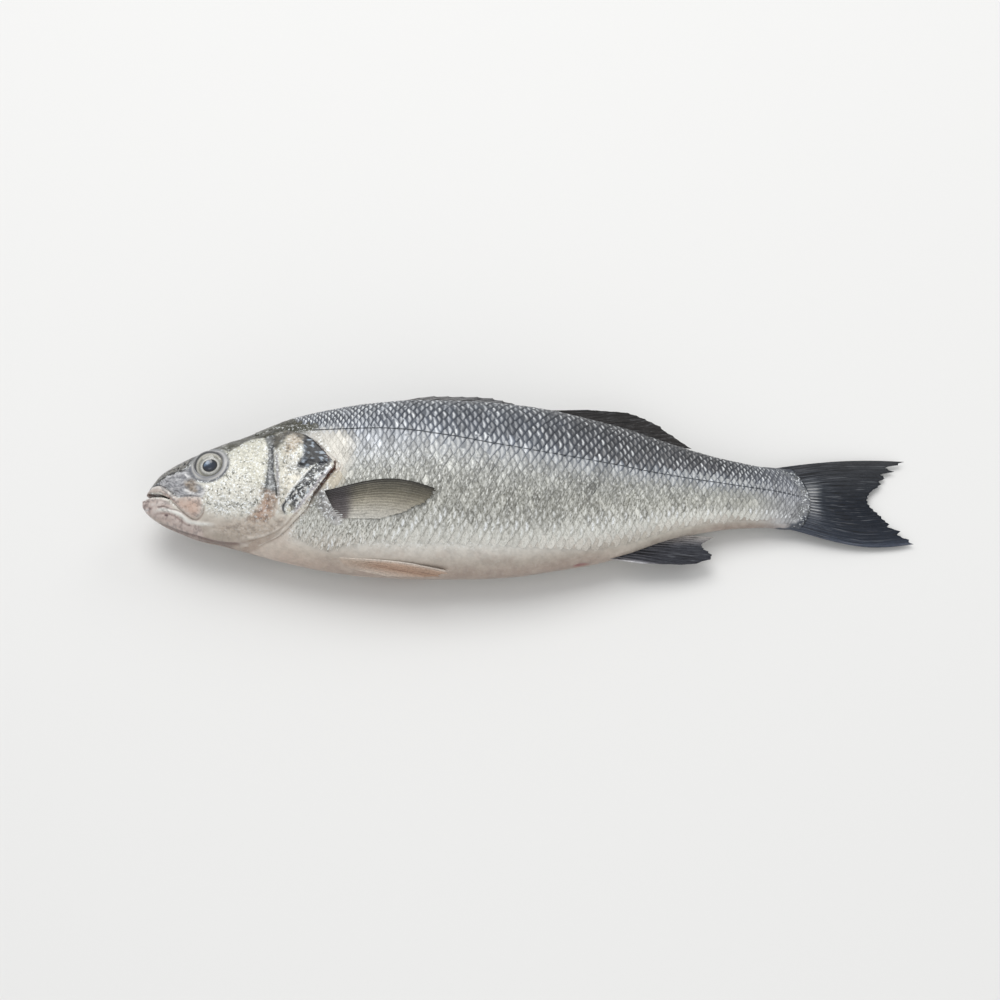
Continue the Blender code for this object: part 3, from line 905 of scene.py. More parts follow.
# -------------------------------------------------------------------------- colours of the skin
@dataclass(frozen=True)
class SkinColours:
    """Where each colour of the skin and scales lies."""

    form: FishForm
    middle: Band = Band((
        # Towards the keel the colour darkens: partly the belly's own tone, partly painted shade where it
        # turns under.
        (-1.0, (168, 151, 139)), (-0.95, (184, 173, 161)), (-0.9, (200, 193, 183)),
        (-0.84, (209, 206, 198)), (-0.77, (213, 212, 204)), (-0.66, (199, 198, 191)),
        (-0.5, (173, 172, 164)), (-0.3, (170, 170, 164)), (-0.12, (172, 173, 172)),
        (0.0, (178, 180, 182)), (0.08, (160, 163, 167)), (0.35, (142, 144, 148)),
        # From 0.97 to 1 the very top of the back is lighter: a painted highlight along its edge.
        (0.75, (124, 127, 131)), (0.92, (112, 115, 119)), (0.97, (146, 148, 150)),
        (1.0, (160, 160, 160))))
    rim: Band = Band((
        (-1.0, (170, 156, 142)), (-0.9, (174, 166, 154)), (-0.8, (160, 156, 147)),
        (-0.62, (124, 123, 114)), (-0.25, (116, 117, 114)), (-0.05, (110, 115, 122)),
        # The rim, too, is lighter at 1, for the painted highlight along the back's edge.
        (0.05, (62, 68, 78)), (0.4, (46, 51, 60)), (0.92, (44, 48, 55)), (1.0, (104, 105, 106))))
    rim_width: Pairs = (
        (-1.0, 0.12), (-0.75, 0.22), (-0.3, 0.28), (-0.03, 0.3), (0.06, 0.42), (1.0, 0.48))
    rim_strength: Pairs = (
        (-1.0, 0.0), (-0.85, 0.05), (-0.75, 0.14), (-0.66, 0.36), (-0.55, 0.45), (-0.45, 0.45),
        (-0.22, 0.55), (-0.08, 0.75), (0.04, 0.95), (1.0, 0.95))
    glint: Pairs = (
        (-1.0, 0.0), (-0.85, 0.0), (-0.76, 0.15), (-0.7, 0.6), (-0.64, 1.0), (-0.58, 0.6),
        (-0.5, 0.3), (-0.45, 0.22), (-0.2, 0.22), (0.0, 0.4), (0.1, 0.82), (1.0, 1.0))
    stroke: Pairs = (
        (-1.0, 0.0), (-0.9, 0.15), (-0.76, 0.34), (-0.68, 0.55), (-0.6, 0.9), (-0.5, 1.0),
        (-0.25, 0.85), (-0.08, 0.25), (0.02, 0.0), (1.0, 0.0))
    head_side: Band = Band((
        (0, (84, 84, 78)), (22, (92, 92, 86)), (34, (120, 120, 112)), (48, (202, 201, 189)),
        (70, (214, 212, 200)), (100, (214, 211, 200)), (122, (202, 196, 185)),
        (140, (182, 172, 161)), (180, (168, 153, 141))))

    def tone_place(self, s: Array, d: Array) -> Array:
        """Band place that sets the tone: towards the tail the back's dark draws up to its edge."""
        place = self.form.band_place(s, d)
        lower = 0.26 * ramp(s, 255, 315) * ramp(place, 0, 0.06) * (1 - place)
        # Behind s = 215 to 255 the place stops short of the back's painted edge highlight.
        return np.minimum(place - lower, 1 - 0.1 * ramp(s, 215, 255))

    def scales(self, s: Array, d: Array) -> tuple[Array, Array]:
        """Colours of the middle and the rim of scales that lie at each point."""
        place = self.tone_place(s, d)
        middle, rim = self.middle.at(place), self.rim.at(place)
        on_back = ramp(place, 0, 0.1)
        fore = on_back * ramp(s, 176, 116)
        rear = on_back * ramp(s, 200, 270) * (1 - ramp(s, 308, 332))
        on_flank = (1 - on_back) * ramp(place, -0.9, -0.7) * ramp(place, -0.15, -0.35)
        keel = ramp(place, -0.86, -0.94)
        shade = (1.05 - 0.12 * on_back * ramp(s, 190, 240) - 0.05 * (1 - on_back) - 0.2 * rear
                 - 0.07 * ramp(s, 300, 330) + keel * (0.08 * ramp(s, 110, 80) - 0.05 * ramp(s, 150, 190))
                 + on_flank * (0.11 * ramp(s, 190, 310) - 0.05))
        middle, rim = middle * shade[..., None], rim * shade[..., None]
        upper = (1 - on_back) * ramp(place, -0.38, -0.18) * ramp(s, 165, 125)
        pale = keel * ramp(s, 238, 268) * (1 - ramp(s, 292, 312))
        aft = ramp(s, 325, 350)
        middle = layered(middle, ((184, 188, 194), 0.5 * fore), ((104, 98, 96), 0.4 * rear),
                         ((194, 198, 206), 0.6 * upper), ((202, 197, 185), 0.6 * pale),
                         ((152, 153, 160), (0.6 - 0.3 * on_back) * aft))
        rim = mixed(rim, (105, 108, 116), 0.7 * aft)
        off = unevenness(s, d)
        for marking in TRUNK_MARKINGS:
            weight = marking.ragged_weight(s, d, off) * marking.strength
            middle = mixed(middle, marking.tint, weight)
            rim = mixed(rim, np.array(marking.tint) * 0.93, weight)
        return middle, rim

    def skin(self, s: Array, d: Array) -> Array:
        """Colours of the trunk's bare skin."""
        middle, rim = self.scales(s, d)
        place = self.form.band_place(s, d)
        return mixed(middle, rim, 0.5 * ramp(place, -0.8, -0.6))

    def tail_end(self, s: Array, d: Array, beyond: Array, tint: Array) -> Array:
        """Paints the skin that far beyond the last scales, where the tail fin's rays come out of it."""
        k = np.clip((TAIL_ROOT_TOP - d) / TAIL_ROOT_DEPTH, 0, 1)
        ray = 0.5 + 0.5 * np.cos(math.tau * TAIL_RAYS * k + 0.6 * mottled(s, d, 3.0, 12))
        pale = ramp(k, 0.27, 0.41) * ramp(k, 0.82, 0.68)
        dull = np.broadcast_to((62.0, 66.0, 74.0), tint.shape)
        rays = mixed(dull, (196, 194, 190), ray ** 1.5 * pale * (0.6 + 0.4 * mottled(s, d, 2.2, 24)))
        return mixed(tint, rays, ramp(beyond + 2.4 * mottled(s, d, 2.2, 13), -3.4, 1.1))


def unevenness(s: Array, d: Array) -> tuple[Array, Array]:
    """How far, from -1 to 1 along s and d, ragged markings are pushed about."""
    return (0.6 * mottled(s, d, 2.6, 4) + 0.4 * mottled(s, d, 1.0, 3),
            0.6 * mottled(s, d, 2.6, 5) + 0.4 * mottled(s, d, 1.0, 6))


# Olive skin of the nape, ahead of the first scales.
NAPE = patch(((60, 20), (62, 34), (72, 44), (80, 38), (84.5, 32.5), (91.9, 30.4), (94.6, 27), (92, 24.6),
              (86, 24), (77.9, 22.8)), 1.2, (66, 64, 50), 0.9, ragged=1.4)

TRUNK_MARKINGS = (
    # Cream patch behind the gill cover, and the tan tinge where the spine rests on it.
    patch(((88, 24.5), (98, 25), (108, 24.6), (114, 20), (115, 10), (112, 0), (108, -8), (103, -12),
           (99, -8), (100, 2), (96, 12), (90, 20)), 4.5, (206, 201, 190), 0.88, ragged=1.5),
    Marking(((99, 10), (103.3, 5.4), (106.5, 1.6), (109, -2)), 2.6, (206, 178, 164), 0.5, ragged=1.4),
    patch(((103, 2), (108, -1), (110, -6), (105, -10), (98, -9), (99, -4)), 2.5, (174, 160, 134), 0.5,
          ragged=2.0),
    NAPE,
    # Throat and the skin just behind the membrane.
    patch(((60, -36), (75, -33.5), (82, -29), (84, -31), (80, -38), (66, -42)), 3.0, (206, 194, 182),
          0.6),
)

PECTORAL_BASE = patch(((97, -12), (101.5, -10.6), (105.4, -14), (108.6, -20), (110.6, -26), (107, -29),
                       (101, -25.5), (97, -19)), 2.6, (150, 146, 148), 0.6, rise=0.5, speckle=0.8,
                      mottle=0.4, ragged=1.6)

HEAD_MARKINGS = (
    # Top of the head, down to the dark line from the snout over the eye to the nape.
    patch(((-6, -1), (5.6, -1.6), (8.7, -0.3), (12.6, 2.6), (18, 4.4), (23.8, 6.2), (27.1, 12.1),
           (31, 17), (36, 19.4), (42, 19.6), (50.7, 17.2), (54.9, 20), (60.6, 21.4), (66.9, 21), (73, 23),
           (79, 25.6), (95, 27), (95, 70), (-6, 70)), 0.8, (120, 117, 111), 0.92, speckle=0.2, mottle=0.5,
          ragged=0.5),
    Marking(((3, 0.2), (8, 5.4), (14, 8.9), (20, 12.3), (27, 16)), 1.5, (176, 162, 157), 0.55,
            ragged=0.6),
    patch(((46, 18.6), (54.9, 20.4), (60.6, 22), (66.9, 21.6), (73, 23), (84, 26.4), (95, 27), (95, 70),
           (40, 70)), 1.6, (58, 56, 45), 0.88, speckle=0.1, mottle=0.34, ragged=1.4),
    Marking(((7, -1.6), (8.7, -0.5), (10.8, 1), (12.6, 2.5), (15.2, 3.5), (18, 4.1), (20.9, 5.1),
             (23.8, 5.7), (25.7, 8.1), (27.1, 12.1), (30, 16.4), (35, 18.8), (40, 20)), 1.35,
            (35, 33, 35), 0.92, rise=-0.15, mottle=0.15, ragged=0.4),
    Marking(((10.4, 2.6), (11.6, 3.8), (14.1, 5.9), (16.5, 7.4), (19.6, 7.6)), 0.8, (60, 57, 55), 0.75,
            ragged=0.5),
    Marking(((36, 17.9), (43, 18.2), (48, 15.4), (52, 17.6), (57, 20.6)), 1.0, (52, 50, 46), 0.7,
            rise=-0.1, ragged=0.5),
    # Nape, and the skin over the top of the gill cover.
    patch(((58.5, 21.8), (66.3, 22.2), (73.8, 23.9), (81, 26.8), (87.2, 25.7), (93.4, 23.4), (96, 27),
           (91.6, 29.5), (84.5, 32), (76.4, 35), (69.3, 31), (62, 27)), 1.4, (56, 54, 42), 0.94,
          speckle=0.12, mottle=0.38, ragged=1.9),
    # Side of the snout, with folds painted in shade and highlights, painted highlights, and brown
    # blotches.
    patch(((4, -2.3), (8.7, -0.9), (12.6, 1.8), (18, 3.6), (23.8, 5.2), (27.5, 6.8), (29.5, 3),
           (31, -2.5), (35, -6), (35.5, -10.6), (24, -10.4), (20, -8.8), (15.9, -5.1), (11.6, -2.1),
           (7, -1.7)), 1.2, (150, 150, 154), 0.94, speckle=0.1, mottle=0.36, folds=0.32, ragged=0.5),
    Marking(((2.6, -2.8), (5.6, -1.9), (8.6, -1.3), (11.4, -0.6)), 1.3, (90, 92, 105), 0.8, ragged=0.4),
    Marking(((14, -0.5), (16, 0)), 1.0, (104, 102, 106), 0.8),
    Marking(((22.4, -3.6), (24.6, -3)), 1.1, (104, 102, 106), 0.8),
    Marking(((19.2, -6.3), (21.6, -6.9)), 1.0, (112, 108, 110), 0.75),
    # Painted highlights: pale streaks along the side of the snout.
    Marking(((13, 1.6), (17, 2.2), (21.5, 3.2), (26, 3.6)), 0.9, (216, 215, 217), 0.75, rise=0.25,
            ragged=0.9),
    Marking(((24.4, 2.8), (25.6, 1.7), (26.8, 0.1)), 1.3, (238, 237, 236), 0.95, rise=0.2, ragged=0.4),
    Marking(((12, -2.6), (17, -1.6), (21, -0.8), (26, -1)), 0.9, (220, 219, 220), 0.7, rise=0.25,
            ragged=1.1),
    patch(((25, -2), (29, -1.1), (31.2, -4.1), (31.5, -7.7), (28.7, -7.7), (25.8, -4.8)), 1.5,
          (140, 122, 102), 0.8, mottle=0.4, folds=0.3, ragged=0.8),
    Marking(((24.4, -6.2), (26.2, -7.1), (28.4, -8.7), (33.2, -9.7), (35.8, -9), (37.1, -6.2),
             (36, -3.8)), 1.5, (226, 224, 222), 0.8, rise=0.3, ragged=0.5),
    Marking(((16.6, -4.6), (19.6, -5), (23, -5.6)), 1.1, (212, 210, 210), 0.6, rise=0.2, ragged=0.6),
    Marking(((4.6, -2.7), (5.8, -2.2), (7.2, -1.8), (8.9, -1.6), (11.6, -2.2), (13.8, -3.6), (15.9, -5.3),
             (17.9, -7.3), (20, -9), (22.4, -10.3)), 0.75, (66, 64, 68), 0.88, rise=-0.35, ragged=0.2),
    Marking(((21.4, -10.2), (25.4, -9.9), (28.6, -10.1), (31.7, -10.6), (34.4, -11.4), (35.8, -13.6)),
            0.7, (104, 96, 96), 0.75, rise=-0.3, ragged=0.2),
    # Upper lip and the upper jaw bone, which widens behind the corner of the mouth.
    patch(((-3, -3.4), (3, -3.2), (5.6, -2.7), (7.2, -2.2), (8.9, -2), (11.6, -2.6), (13.8, -4),
           (15.9, -5.7), (17.9, -7.7), (20, -9.4), (22, -10.7), (25.4, -10.4), (28.6, -10.6),
           (31.7, -11.1), (33.9, -11.8), (34.9, -14), (35.1, -17), (34.3, -19.5), (32.8, -21.1),
           (31.3, -21.7), (28.9, -20.8), (26.7, -19.2), (24.3, -17), (21.5, -14.4), (19, -12),
           (16.8, -10.2), (13.5, -7.6), (10.8, -6.5), (8.6, -5.8), (5.9, -5.1), (-3, -4.6)), 0.6,
          (188, 175, 167), 0.95, rise=0.8, speckle=0.0, mottle=0.32, folds=0.0),
    patch(((22.6, -12.6), (29, -12.6), (33.4, -14), (33.6, -18), (31, -20.4), (28, -18.8), (23.4, -15.2)),
          2.2, (196, 168, 152), 0.8, mottle=0.22),
    # Painted highlight along the ridge of the upper jaw.
    Marking(((4.6, -3.2), (7.4, -2.8), (10.7, -3.3), (13.2, -4.6), (15.9, -6.7), (18.6, -9.6),
             (21.4, -12.4)), 1.1, (226, 221, 216), 0.8, rise=0.3, ragged=0.2),
    Marking(((25, -11.6), (29, -12), (33, -13.2)), 1.0, (216, 200, 190), 0.5, rise=0.15, ragged=0.4),
    Marking(((12.4, -7), (15.6, -8.7), (18.8, -11.4), (22, -14.4), (25.4, -17.6)), 0.9, (150, 122, 112),
            0.5, ragged=0.4),
    # Painted shadow under the edge of the upper jaw bone.
    Marking(((16.8, -11), (18.8, -12.8), (21.3, -15.2), (24.1, -17.9), (26.5, -20.1), (28.7, -21.7),
             (31.3, -22.7), (33.6, -21.9), (35.3, -19.9), (36, -17), (35.8, -13.8)), 0.85, (122, 104, 96),
            0.55, rise=-0.4),
    # Lower lip and jaw.
    patch(((-3, -8.2), (0.4, -13.6), (10, -19.6), (20, -25.4), (34, -31), (34, -26), (28, -23.4),
           (21, -18.6), (17.6, -13.4), (13, -10.2), (8, -9), (-3, -7.4)), 1.2, (196, 180, 173), 0.88,
          speckle=0.05, mottle=0.22),
    patch(((-3, -8), (2.4, -8.8), (4.6, -11.5), (5.4, -15.5), (2, -16), (-3, -14)), 1.8, (178, 156, 150),
          0.7, mottle=0.3),
    # Painted highlight along the lower lip.
    Marking(((1.4, -9.8), (4.4, -9.2), (7.1, -9.2), (11, -9.8), (13.5, -10.5), (17.2, -12.2)), 1.0,
            (204, 194, 188), 0.65, rise=0.5, ragged=0.3),
    Marking(((5, -11.8), (9, -12.2), (12.4, -12.2), (15.4, -13)), 1.0, (208, 200, 195), 0.5, rise=0.15,
            ragged=0.6),
    Marking(((2.9, -10.2), (5.3, -9.9)), 0.9, (118, 98, 96), 0.75),
    Marking(((1.7, -11), (3.7, -11.5)), 0.9, (124, 104, 100), 0.7),
    Marking(((5.2, -13.6), (7.4, -14.2)), 1.0, (128, 108, 104), 0.7),
    # Painted highlight on the chin.
    Marking(((2.8, -13.6), (4.1, -14), (5.4, -14.2)), 1.1, (234, 228, 226), 0.85, rise=0.2),
    Marking(((9.4, -13.6), (11.1, -14), (14.4, -14.4), (17.6, -15.9), (20.7, -17), (23.9, -18.8),
             (27.4, -21.4)), 0.75, (112, 94, 90), 0.75, rise=-0.3, ragged=0.3),
    # Painted highlight along the ridge of the lower jaw.
    Marking(((6.4, -15.6), (11.7, -15.5), (15, -15.8), (18.2, -17), (21.5, -18.3), (24.2, -19.9),
             (27.6, -22.7), (32.5, -24.2), (38.5, -25), (45, -26.6)), 1.6, (228, 227, 221), 0.9,
            rise=0.45, ragged=0.3),
    Marking(((6.2, -17.2), (12, -17.4), (17, -18.6), (21.5, -20.6), (26, -23.8), (31, -26.2)), 0.9,
            (140, 120, 114), 0.6, rise=-0.25, ragged=0.5),
    Marking(((8, -18.9), (15, -20.2), (20, -22.8), (26, -26.2), (34, -28.8)), 1.3, (170, 152, 145), 0.5,
            rise=-0.15, ragged=0.5),
    Marking(((14, -18.4), (15, -18.6), (16.2, -18.8)), 0.85, (92, 72, 72), 0.95, rise=-0.5),
    Marking(((7.5, -19.3), (14.9, -22.9), (26.9, -27.9), (38.5, -31.3), (48.7, -33.5), (62, -35.4)), 0.8,
            (104, 86, 80), 0.75, rise=-0.8),
    Marking(((14, -23.9), (27, -29.2), (38.5, -32.6), (52, -35.6)), 1.0, (200, 184, 174), 0.6, rise=0.2),
    Marking(((38, -29.8), (50, -31), (60, -30.6), (70, -28)), 2.2, (160, 152, 140), 0.6, rise=-0.3,
            ragged=0.8),
    Marking(((36, -27.6), (46, -28.6), (56, -27.8), (64, -25.2)), 1.8, (208, 202, 192), 0.5, rise=0.15,
            ragged=0.8),
    # Cheek: a plate with a free rear edge, then a grey band, then the groove before the gill cover.
    Marking(((50.7, 17.4), (54.9, 20.2), (60.6, 21.6), (67.3, 21.1), (68.9, 12.5), (68.6, 1.4),
             (67.1, -9.1), (66.2, -16.4), (63, -20.8), (58, -23)), 8.0, profile=Profile.LEDGE,
            rise=-0.75),
    patch(((49.5, 14.6), (57.4, 19), (66.5, 19.3), (68, 4.8), (66.3, -7.9), (56.5, 1.5)), 3.0,
          (206, 203, 187), 0.75, speckle=0.8, mottle=0.16, ragged=1.2),
    patch(((37, -14.6), (49, -12.8), (64.6, -14.8), (63, -21.2), (49.2, -21.6), (40.6, -19.4)), 3.2,
          (220, 219, 210), 0.75, speckle=1.0, mottle=0.3, ragged=1.4),
    patch(((67.6, 21.4), (73, 21.8), (72.4, 14), (72.6, 8), (72.8, 1), (73.4, -5.3), (74, -12), (71, -13),
           (68.2, -9.1), (69.2, 1.4), (69.5, 12.5)), 0.6, (104, 106, 107), 0.92, speckle=0.4, mottle=0.45,
          ragged=0.3),
    Marking(((69.4, 16.2), (69.7, 9.6), (69.9, 4.6), (70.4, -1.2), (70.8, -6), (71, -11)), 0.85,
            (204, 205, 205), 0.6, rise=0.2, mottle=0.7, ragged=0.6),
    patch(((67.6, -8.8), (71, -10.6), (74.6, -13), (74.6, -19.6), (69.8, -26.6), (62.6, -26), (60, -23),
           (65.8, -18.6), (67, -13)), 2.2, (164, 138, 120), 0.8, rise=-0.2, speckle=0.5, mottle=0.34,
          ragged=1.4),
    patch(((66.8, -18), (70.4, -15), (71, -20), (67.4, -23.5), (64.4, -23)), 2.0, (166, 124, 104), 0.35,
          ragged=1.2),
    Marking(((72.2, 18.2), (71.2, 14.4), (71.9, 7.7), (72, 2.8), (72.8, -2.1), (74, -7.1), (74.8, -12.4),
             (74.4, -15)), 0.85, (22, 24, 30), rise=-1.0),
    # Painted shade just behind the groove.
    Marking(((74, 13), (74.4, 7.4), (74.8, 1.6), (75.3, -4.2), (76.2, -11.9), (76.6, -16)), 1.5,
            (124, 122, 132), 0.7, ragged=0.5),
    Marking(((67.9, 21), (69.6, 12.5), (69.4, 1.4), (67.9, -9.1), (66.9, -16)), 0.7, (90, 92, 88), 0.75,
            rise=-0.25),
    # Gill cover.
    patch(((76, 22), (84, 24), (92, 20), (98, 11), (99, 2), (94, -6), (88, -14), (80, -18), (77, -8),
           (76.5, 6)), 6.0, rise=0.5),
    patch(((77.6, 10), (86, 8), (86, 0), (89.4, -3.6), (83.4, -11), (79, -18), (76.8, -14), (76.6, 0)),
          1.6, (226, 220, 205), 0.85, speckle=0.95, mottle=0.22),
    patch(((80, 6), (85.6, 5.4), (88.6, 1.2), (88, -2.2), (83, -1.4)), 2.4, (168, 168, 166), 0.55,
          speckle=1.0, mottle=0.5, ragged=1.4),
    patch(((71, 20.2), (76, 23.4), (82, 25.6), (88, 24), (95, 17.6), (90, 15), (86, 18), (81, 20.4),
           (77, 17), (74, 13)), 1.6, (84, 80, 72), 0.9, speckle=0.12, mottle=0.45, ragged=1.4),
    patch(((77.6, 12), (79.5, 17.1), (82.4, 20.9), (86.2, 20), (88, 16.2), (84.8, 12.2), (81, 10.6)), 2.4,
          (172, 156, 134), 0.85, speckle=0.45, mottle=0.75, ragged=1.6),
    patch(((88, 16.6), (92.6, 21.2), (98.2, 16.9), (101.3, 11.3), (103.6, 5), (102.6, 3), (99.7, 2.8),
           (93.7, 2.3), (89.5, 0.2), (86.9, 1.8), (87.7, 6.2), (88.9, 11)), 1.2, (10, 14, 22),
          speckle=0.05, mottle=0.95, coarse=1.0, ragged=1.5),
    Marking(((81.6, 25.2), (85.4, 24.8), (88.9, 23.4), (93.5, 19.4), (97.6, 14.7), (100.7, 9.6),
             (103.8, 3.9)), 1.1, (20, 22, 26), 0.85, mottle=0.3, coarse=0.3, ragged=0.7),
    Marking(((99.5, 10.4), (101.6, 7.2), (103.4, 3.8)), 1.1, (112, 72, 62), 0.6, ragged=0.6),
    Marking(((101.6, 2), (97.6, 1.9), (94.2, -0.6), (91.4, -3.4)), 1.4, (20, 26, 38), 0.85, mottle=0.2,
            coarse=0.6, ragged=0.9),
    Marking(((88.2, 13.4), (89.4, 9.6), (89.2, 6), (88.8, 3.2)), 1.3, (150, 163, 178), 0.6, mottle=0.6,
            ragged=1.2),
    patch(((99.2, 2), (104.2, 1), (99.9, -5), (95.6, -10.6), (90.4, -16.6), (85.2, -22.4), (80.6, -23.4),
           (79.4, -19.6), (83.6, -13.6), (89.4, -6.6), (94, -1.6)), 0.9, (214, 212, 207), 0.94,
          speckle=0.9, mottle=0.98, coarse=0.72, ragged=0.6),
    Marking(((104.2, 0.6), (101.2, -2.6), (97.7, -6.9), (92.8, -13.4), (87.2, -19.6), (83, -24)), 1.3,
            (176, 168, 176), 0.75, mottle=0.35, coarse=0.1, ragged=0.5),
    patch(((85, -20.4), (82.6, -24.2), (79.8, -22.8), (80.4, -19)), 1.4, (212, 206, 184), 0.7, mottle=0.3,
          ragged=0.8),
    Marking(((102.6, 2.6), (99.4, 2.9), (96.4, 1.9), (93.1, -1.6), (88.1, -7), (83, -13.4), (79.1, -18.4),
             (78.8, -21), (81.4, -24.9)), 1.1, (26, 30, 38), rise=-0.5, ragged=0.45),
    # Painted highlight along the ridge of the gill cover.
    Marking(((95.4, 2.7), (91.6, -1.2), (88.6, -4.6), (85.6, -8.3), (81.2, -13.6), (78.6, -17.2)), 0.75,
            (242, 241, 236), rise=0.35, mottle=0.0, coarse=0.0),
    # Rear bone of the gill cover, with the soft membrane beyond it.
    Marking(((104.6, 1.2), (102.4, -3.3), (98.3, -8.6), (93.2, -15.7), (88, -21), (83.1, -25.1),
             (80.2, -28.5), (75, -31.8), (68.1, -33.9), (60.7, -34.1), (49.2, -31.9)), 9.0,
            profile=Profile.LEDGE, rise=-0.5),
    Marking(((106, 2.4), (104.4, 0.6), (102.4, -3.3), (98.4, -8.7), (93.4, -15.6), (89.4, -19.8)), 0.65,
            (74, 56, 52), 0.8),
    Marking(((89.4, -20.2), (84, -24.6), (79.5, -29), (71.9, -32.3), (64.2, -33.8), (54.7, -34)), 0.8,
            (150, 134, 120), 0.7, rise=-0.2),
    Marking(((81, -27), (76.4, -33), (68.4, -35.9), (60, -35.6), (51.6, -33.6)), 0.9, (212, 204, 194),
            0.6, rise=0.2),
    Marking(((78, -29.4), (72, -31.6), (65, -32.6), (57, -32.2)), 1.0, (224, 218, 209), 0.7, rise=0.25),
    # Painted highlight along the gill cover's upper and rear edge.
    Marking(((79, 26.4), (82.4, 26.8), (86.5, 26), (91.1, 23.6), (95.9, 18.8), (99.8, 13), (102.8, 7.6),
             (105.6, 2.4)), 0.75, (216, 210, 200), 0.85),
    patch(((60, -24.4), (70, -27.4), (76.6, -24.6), (80, -25.4), (77, -29.2), (70, -31.6), (60, -32.4),
           (46, -30.4), (42, -27)), 2.0, (178, 163, 148), 0.75, speckle=0.15, mottle=0.18, folds=0.14,
          ragged=1.0),
)


@dataclass(frozen=True)
class SkinPaint:
    """Paints markings on skin, broken up by flecks, painted glints, and folds of painted shade and
    highlight.
    """

    markings: tuple[Marking, ...]
    dark_fleck: Colour = (50, 52, 56)
    glint_fleck: Colour = (230, 230, 227)
    dark_blotch: Colour = (4, 6, 11)
    glint_blotch: Colour = (176, 188, 200)
    fleck_relief: float = 0.14
    fold_gap: float = 2.3
    fold_depth: float = 0.16
    least_mottle: float = 0.06
    right_shift: float = 71.0

    def apply(self, s: Array, d: Array, w: Array, tint: Array, speckle: Array
              ) -> tuple[Array, Array, Array]:
        """Paints the markings over a base.

        Args:
            s: Distances from the snout.
            d: Heights above the axis.
            w: Distances out to the left.
            tint: Base colours.
            speckle: Base speckling.

        Returns:
            Colours, speckling and relief in mm at each point.
        """
        pattern_s = s + self.right_shift * (w < 0)
        off = unevenness(pattern_s, d)
        relief, none = np.zeros(np.shape(s)), np.zeros(np.shape(s))
        levels = {"speckle": speckle, "mottle": none + self.least_mottle, "coarse": none, "folds": none}
        for marking in self.markings:
            weight = marking.ragged_weight(s, d, off)
            relief += marking.rise * weight
            if marking.tint is not None:
                tint = mixed(tint, marking.tint, weight * marking.strength)
            for name, level in levels.items():
                aim = getattr(marking, name)
                if aim is not None:
                    levels[name] = level + (aim - level) * weight
        speckle, mottle, coarse, folds = levels.values()
        fine = (0.55 * mottled(pattern_s, d, 1.3, 7, 1.5) + 0.45 * mottled(pattern_s, d, 0.7, 8)) * 1.5
        broad = (0.6 * mottled(pattern_s, d, 1.9, 9, 1.3) + 0.4 * mottled(pattern_s, d, 0.85, 10)) * 1.7
        small, large = mottle * (1 - coarse), mottle * coarse
        # Dark flecks, then light flecks that are painted glints on pale skin, then dark blotches, and
        # light blotches that are painted glints.
        tint = mixed(tint, self.dark_fleck, small * ramp(fine, 0.12, 0.48) * 0.85)
        bright = np.clip(tint.mean(axis=-1) / 170 - 0.2, 0, 1)
        tint = layered(tint, (self.glint_fleck, small * bright * ramp(fine, -0.18, -0.54) * 0.85),
                       (self.dark_blotch, large * ramp(broad, -0.3, 0.1) * 0.95),
                       (self.glint_blotch, large * ramp(broad, -0.55, -0.75) * 0.9))
        across = (d + 0.4 * pattern_s) / self.fold_gap + 1.5 * mottled(pattern_s, d, 3.6, 11, 1.4)
        fold = np.sin(math.tau * across)
        # Folds: painted shade in their hollows and painted highlights on their crests.
        tint = layered(tint, ((92, 90, 94), folds * ramp(fold, 0.1, 1) * 0.7),
                       ((222, 221, 222), folds * ramp(fold, -0.2, -1) * 0.6))
        relief = relief - self.fleck_relief * mottle * fine - self.fold_depth * folds * fold
        return tint, speckle, relief


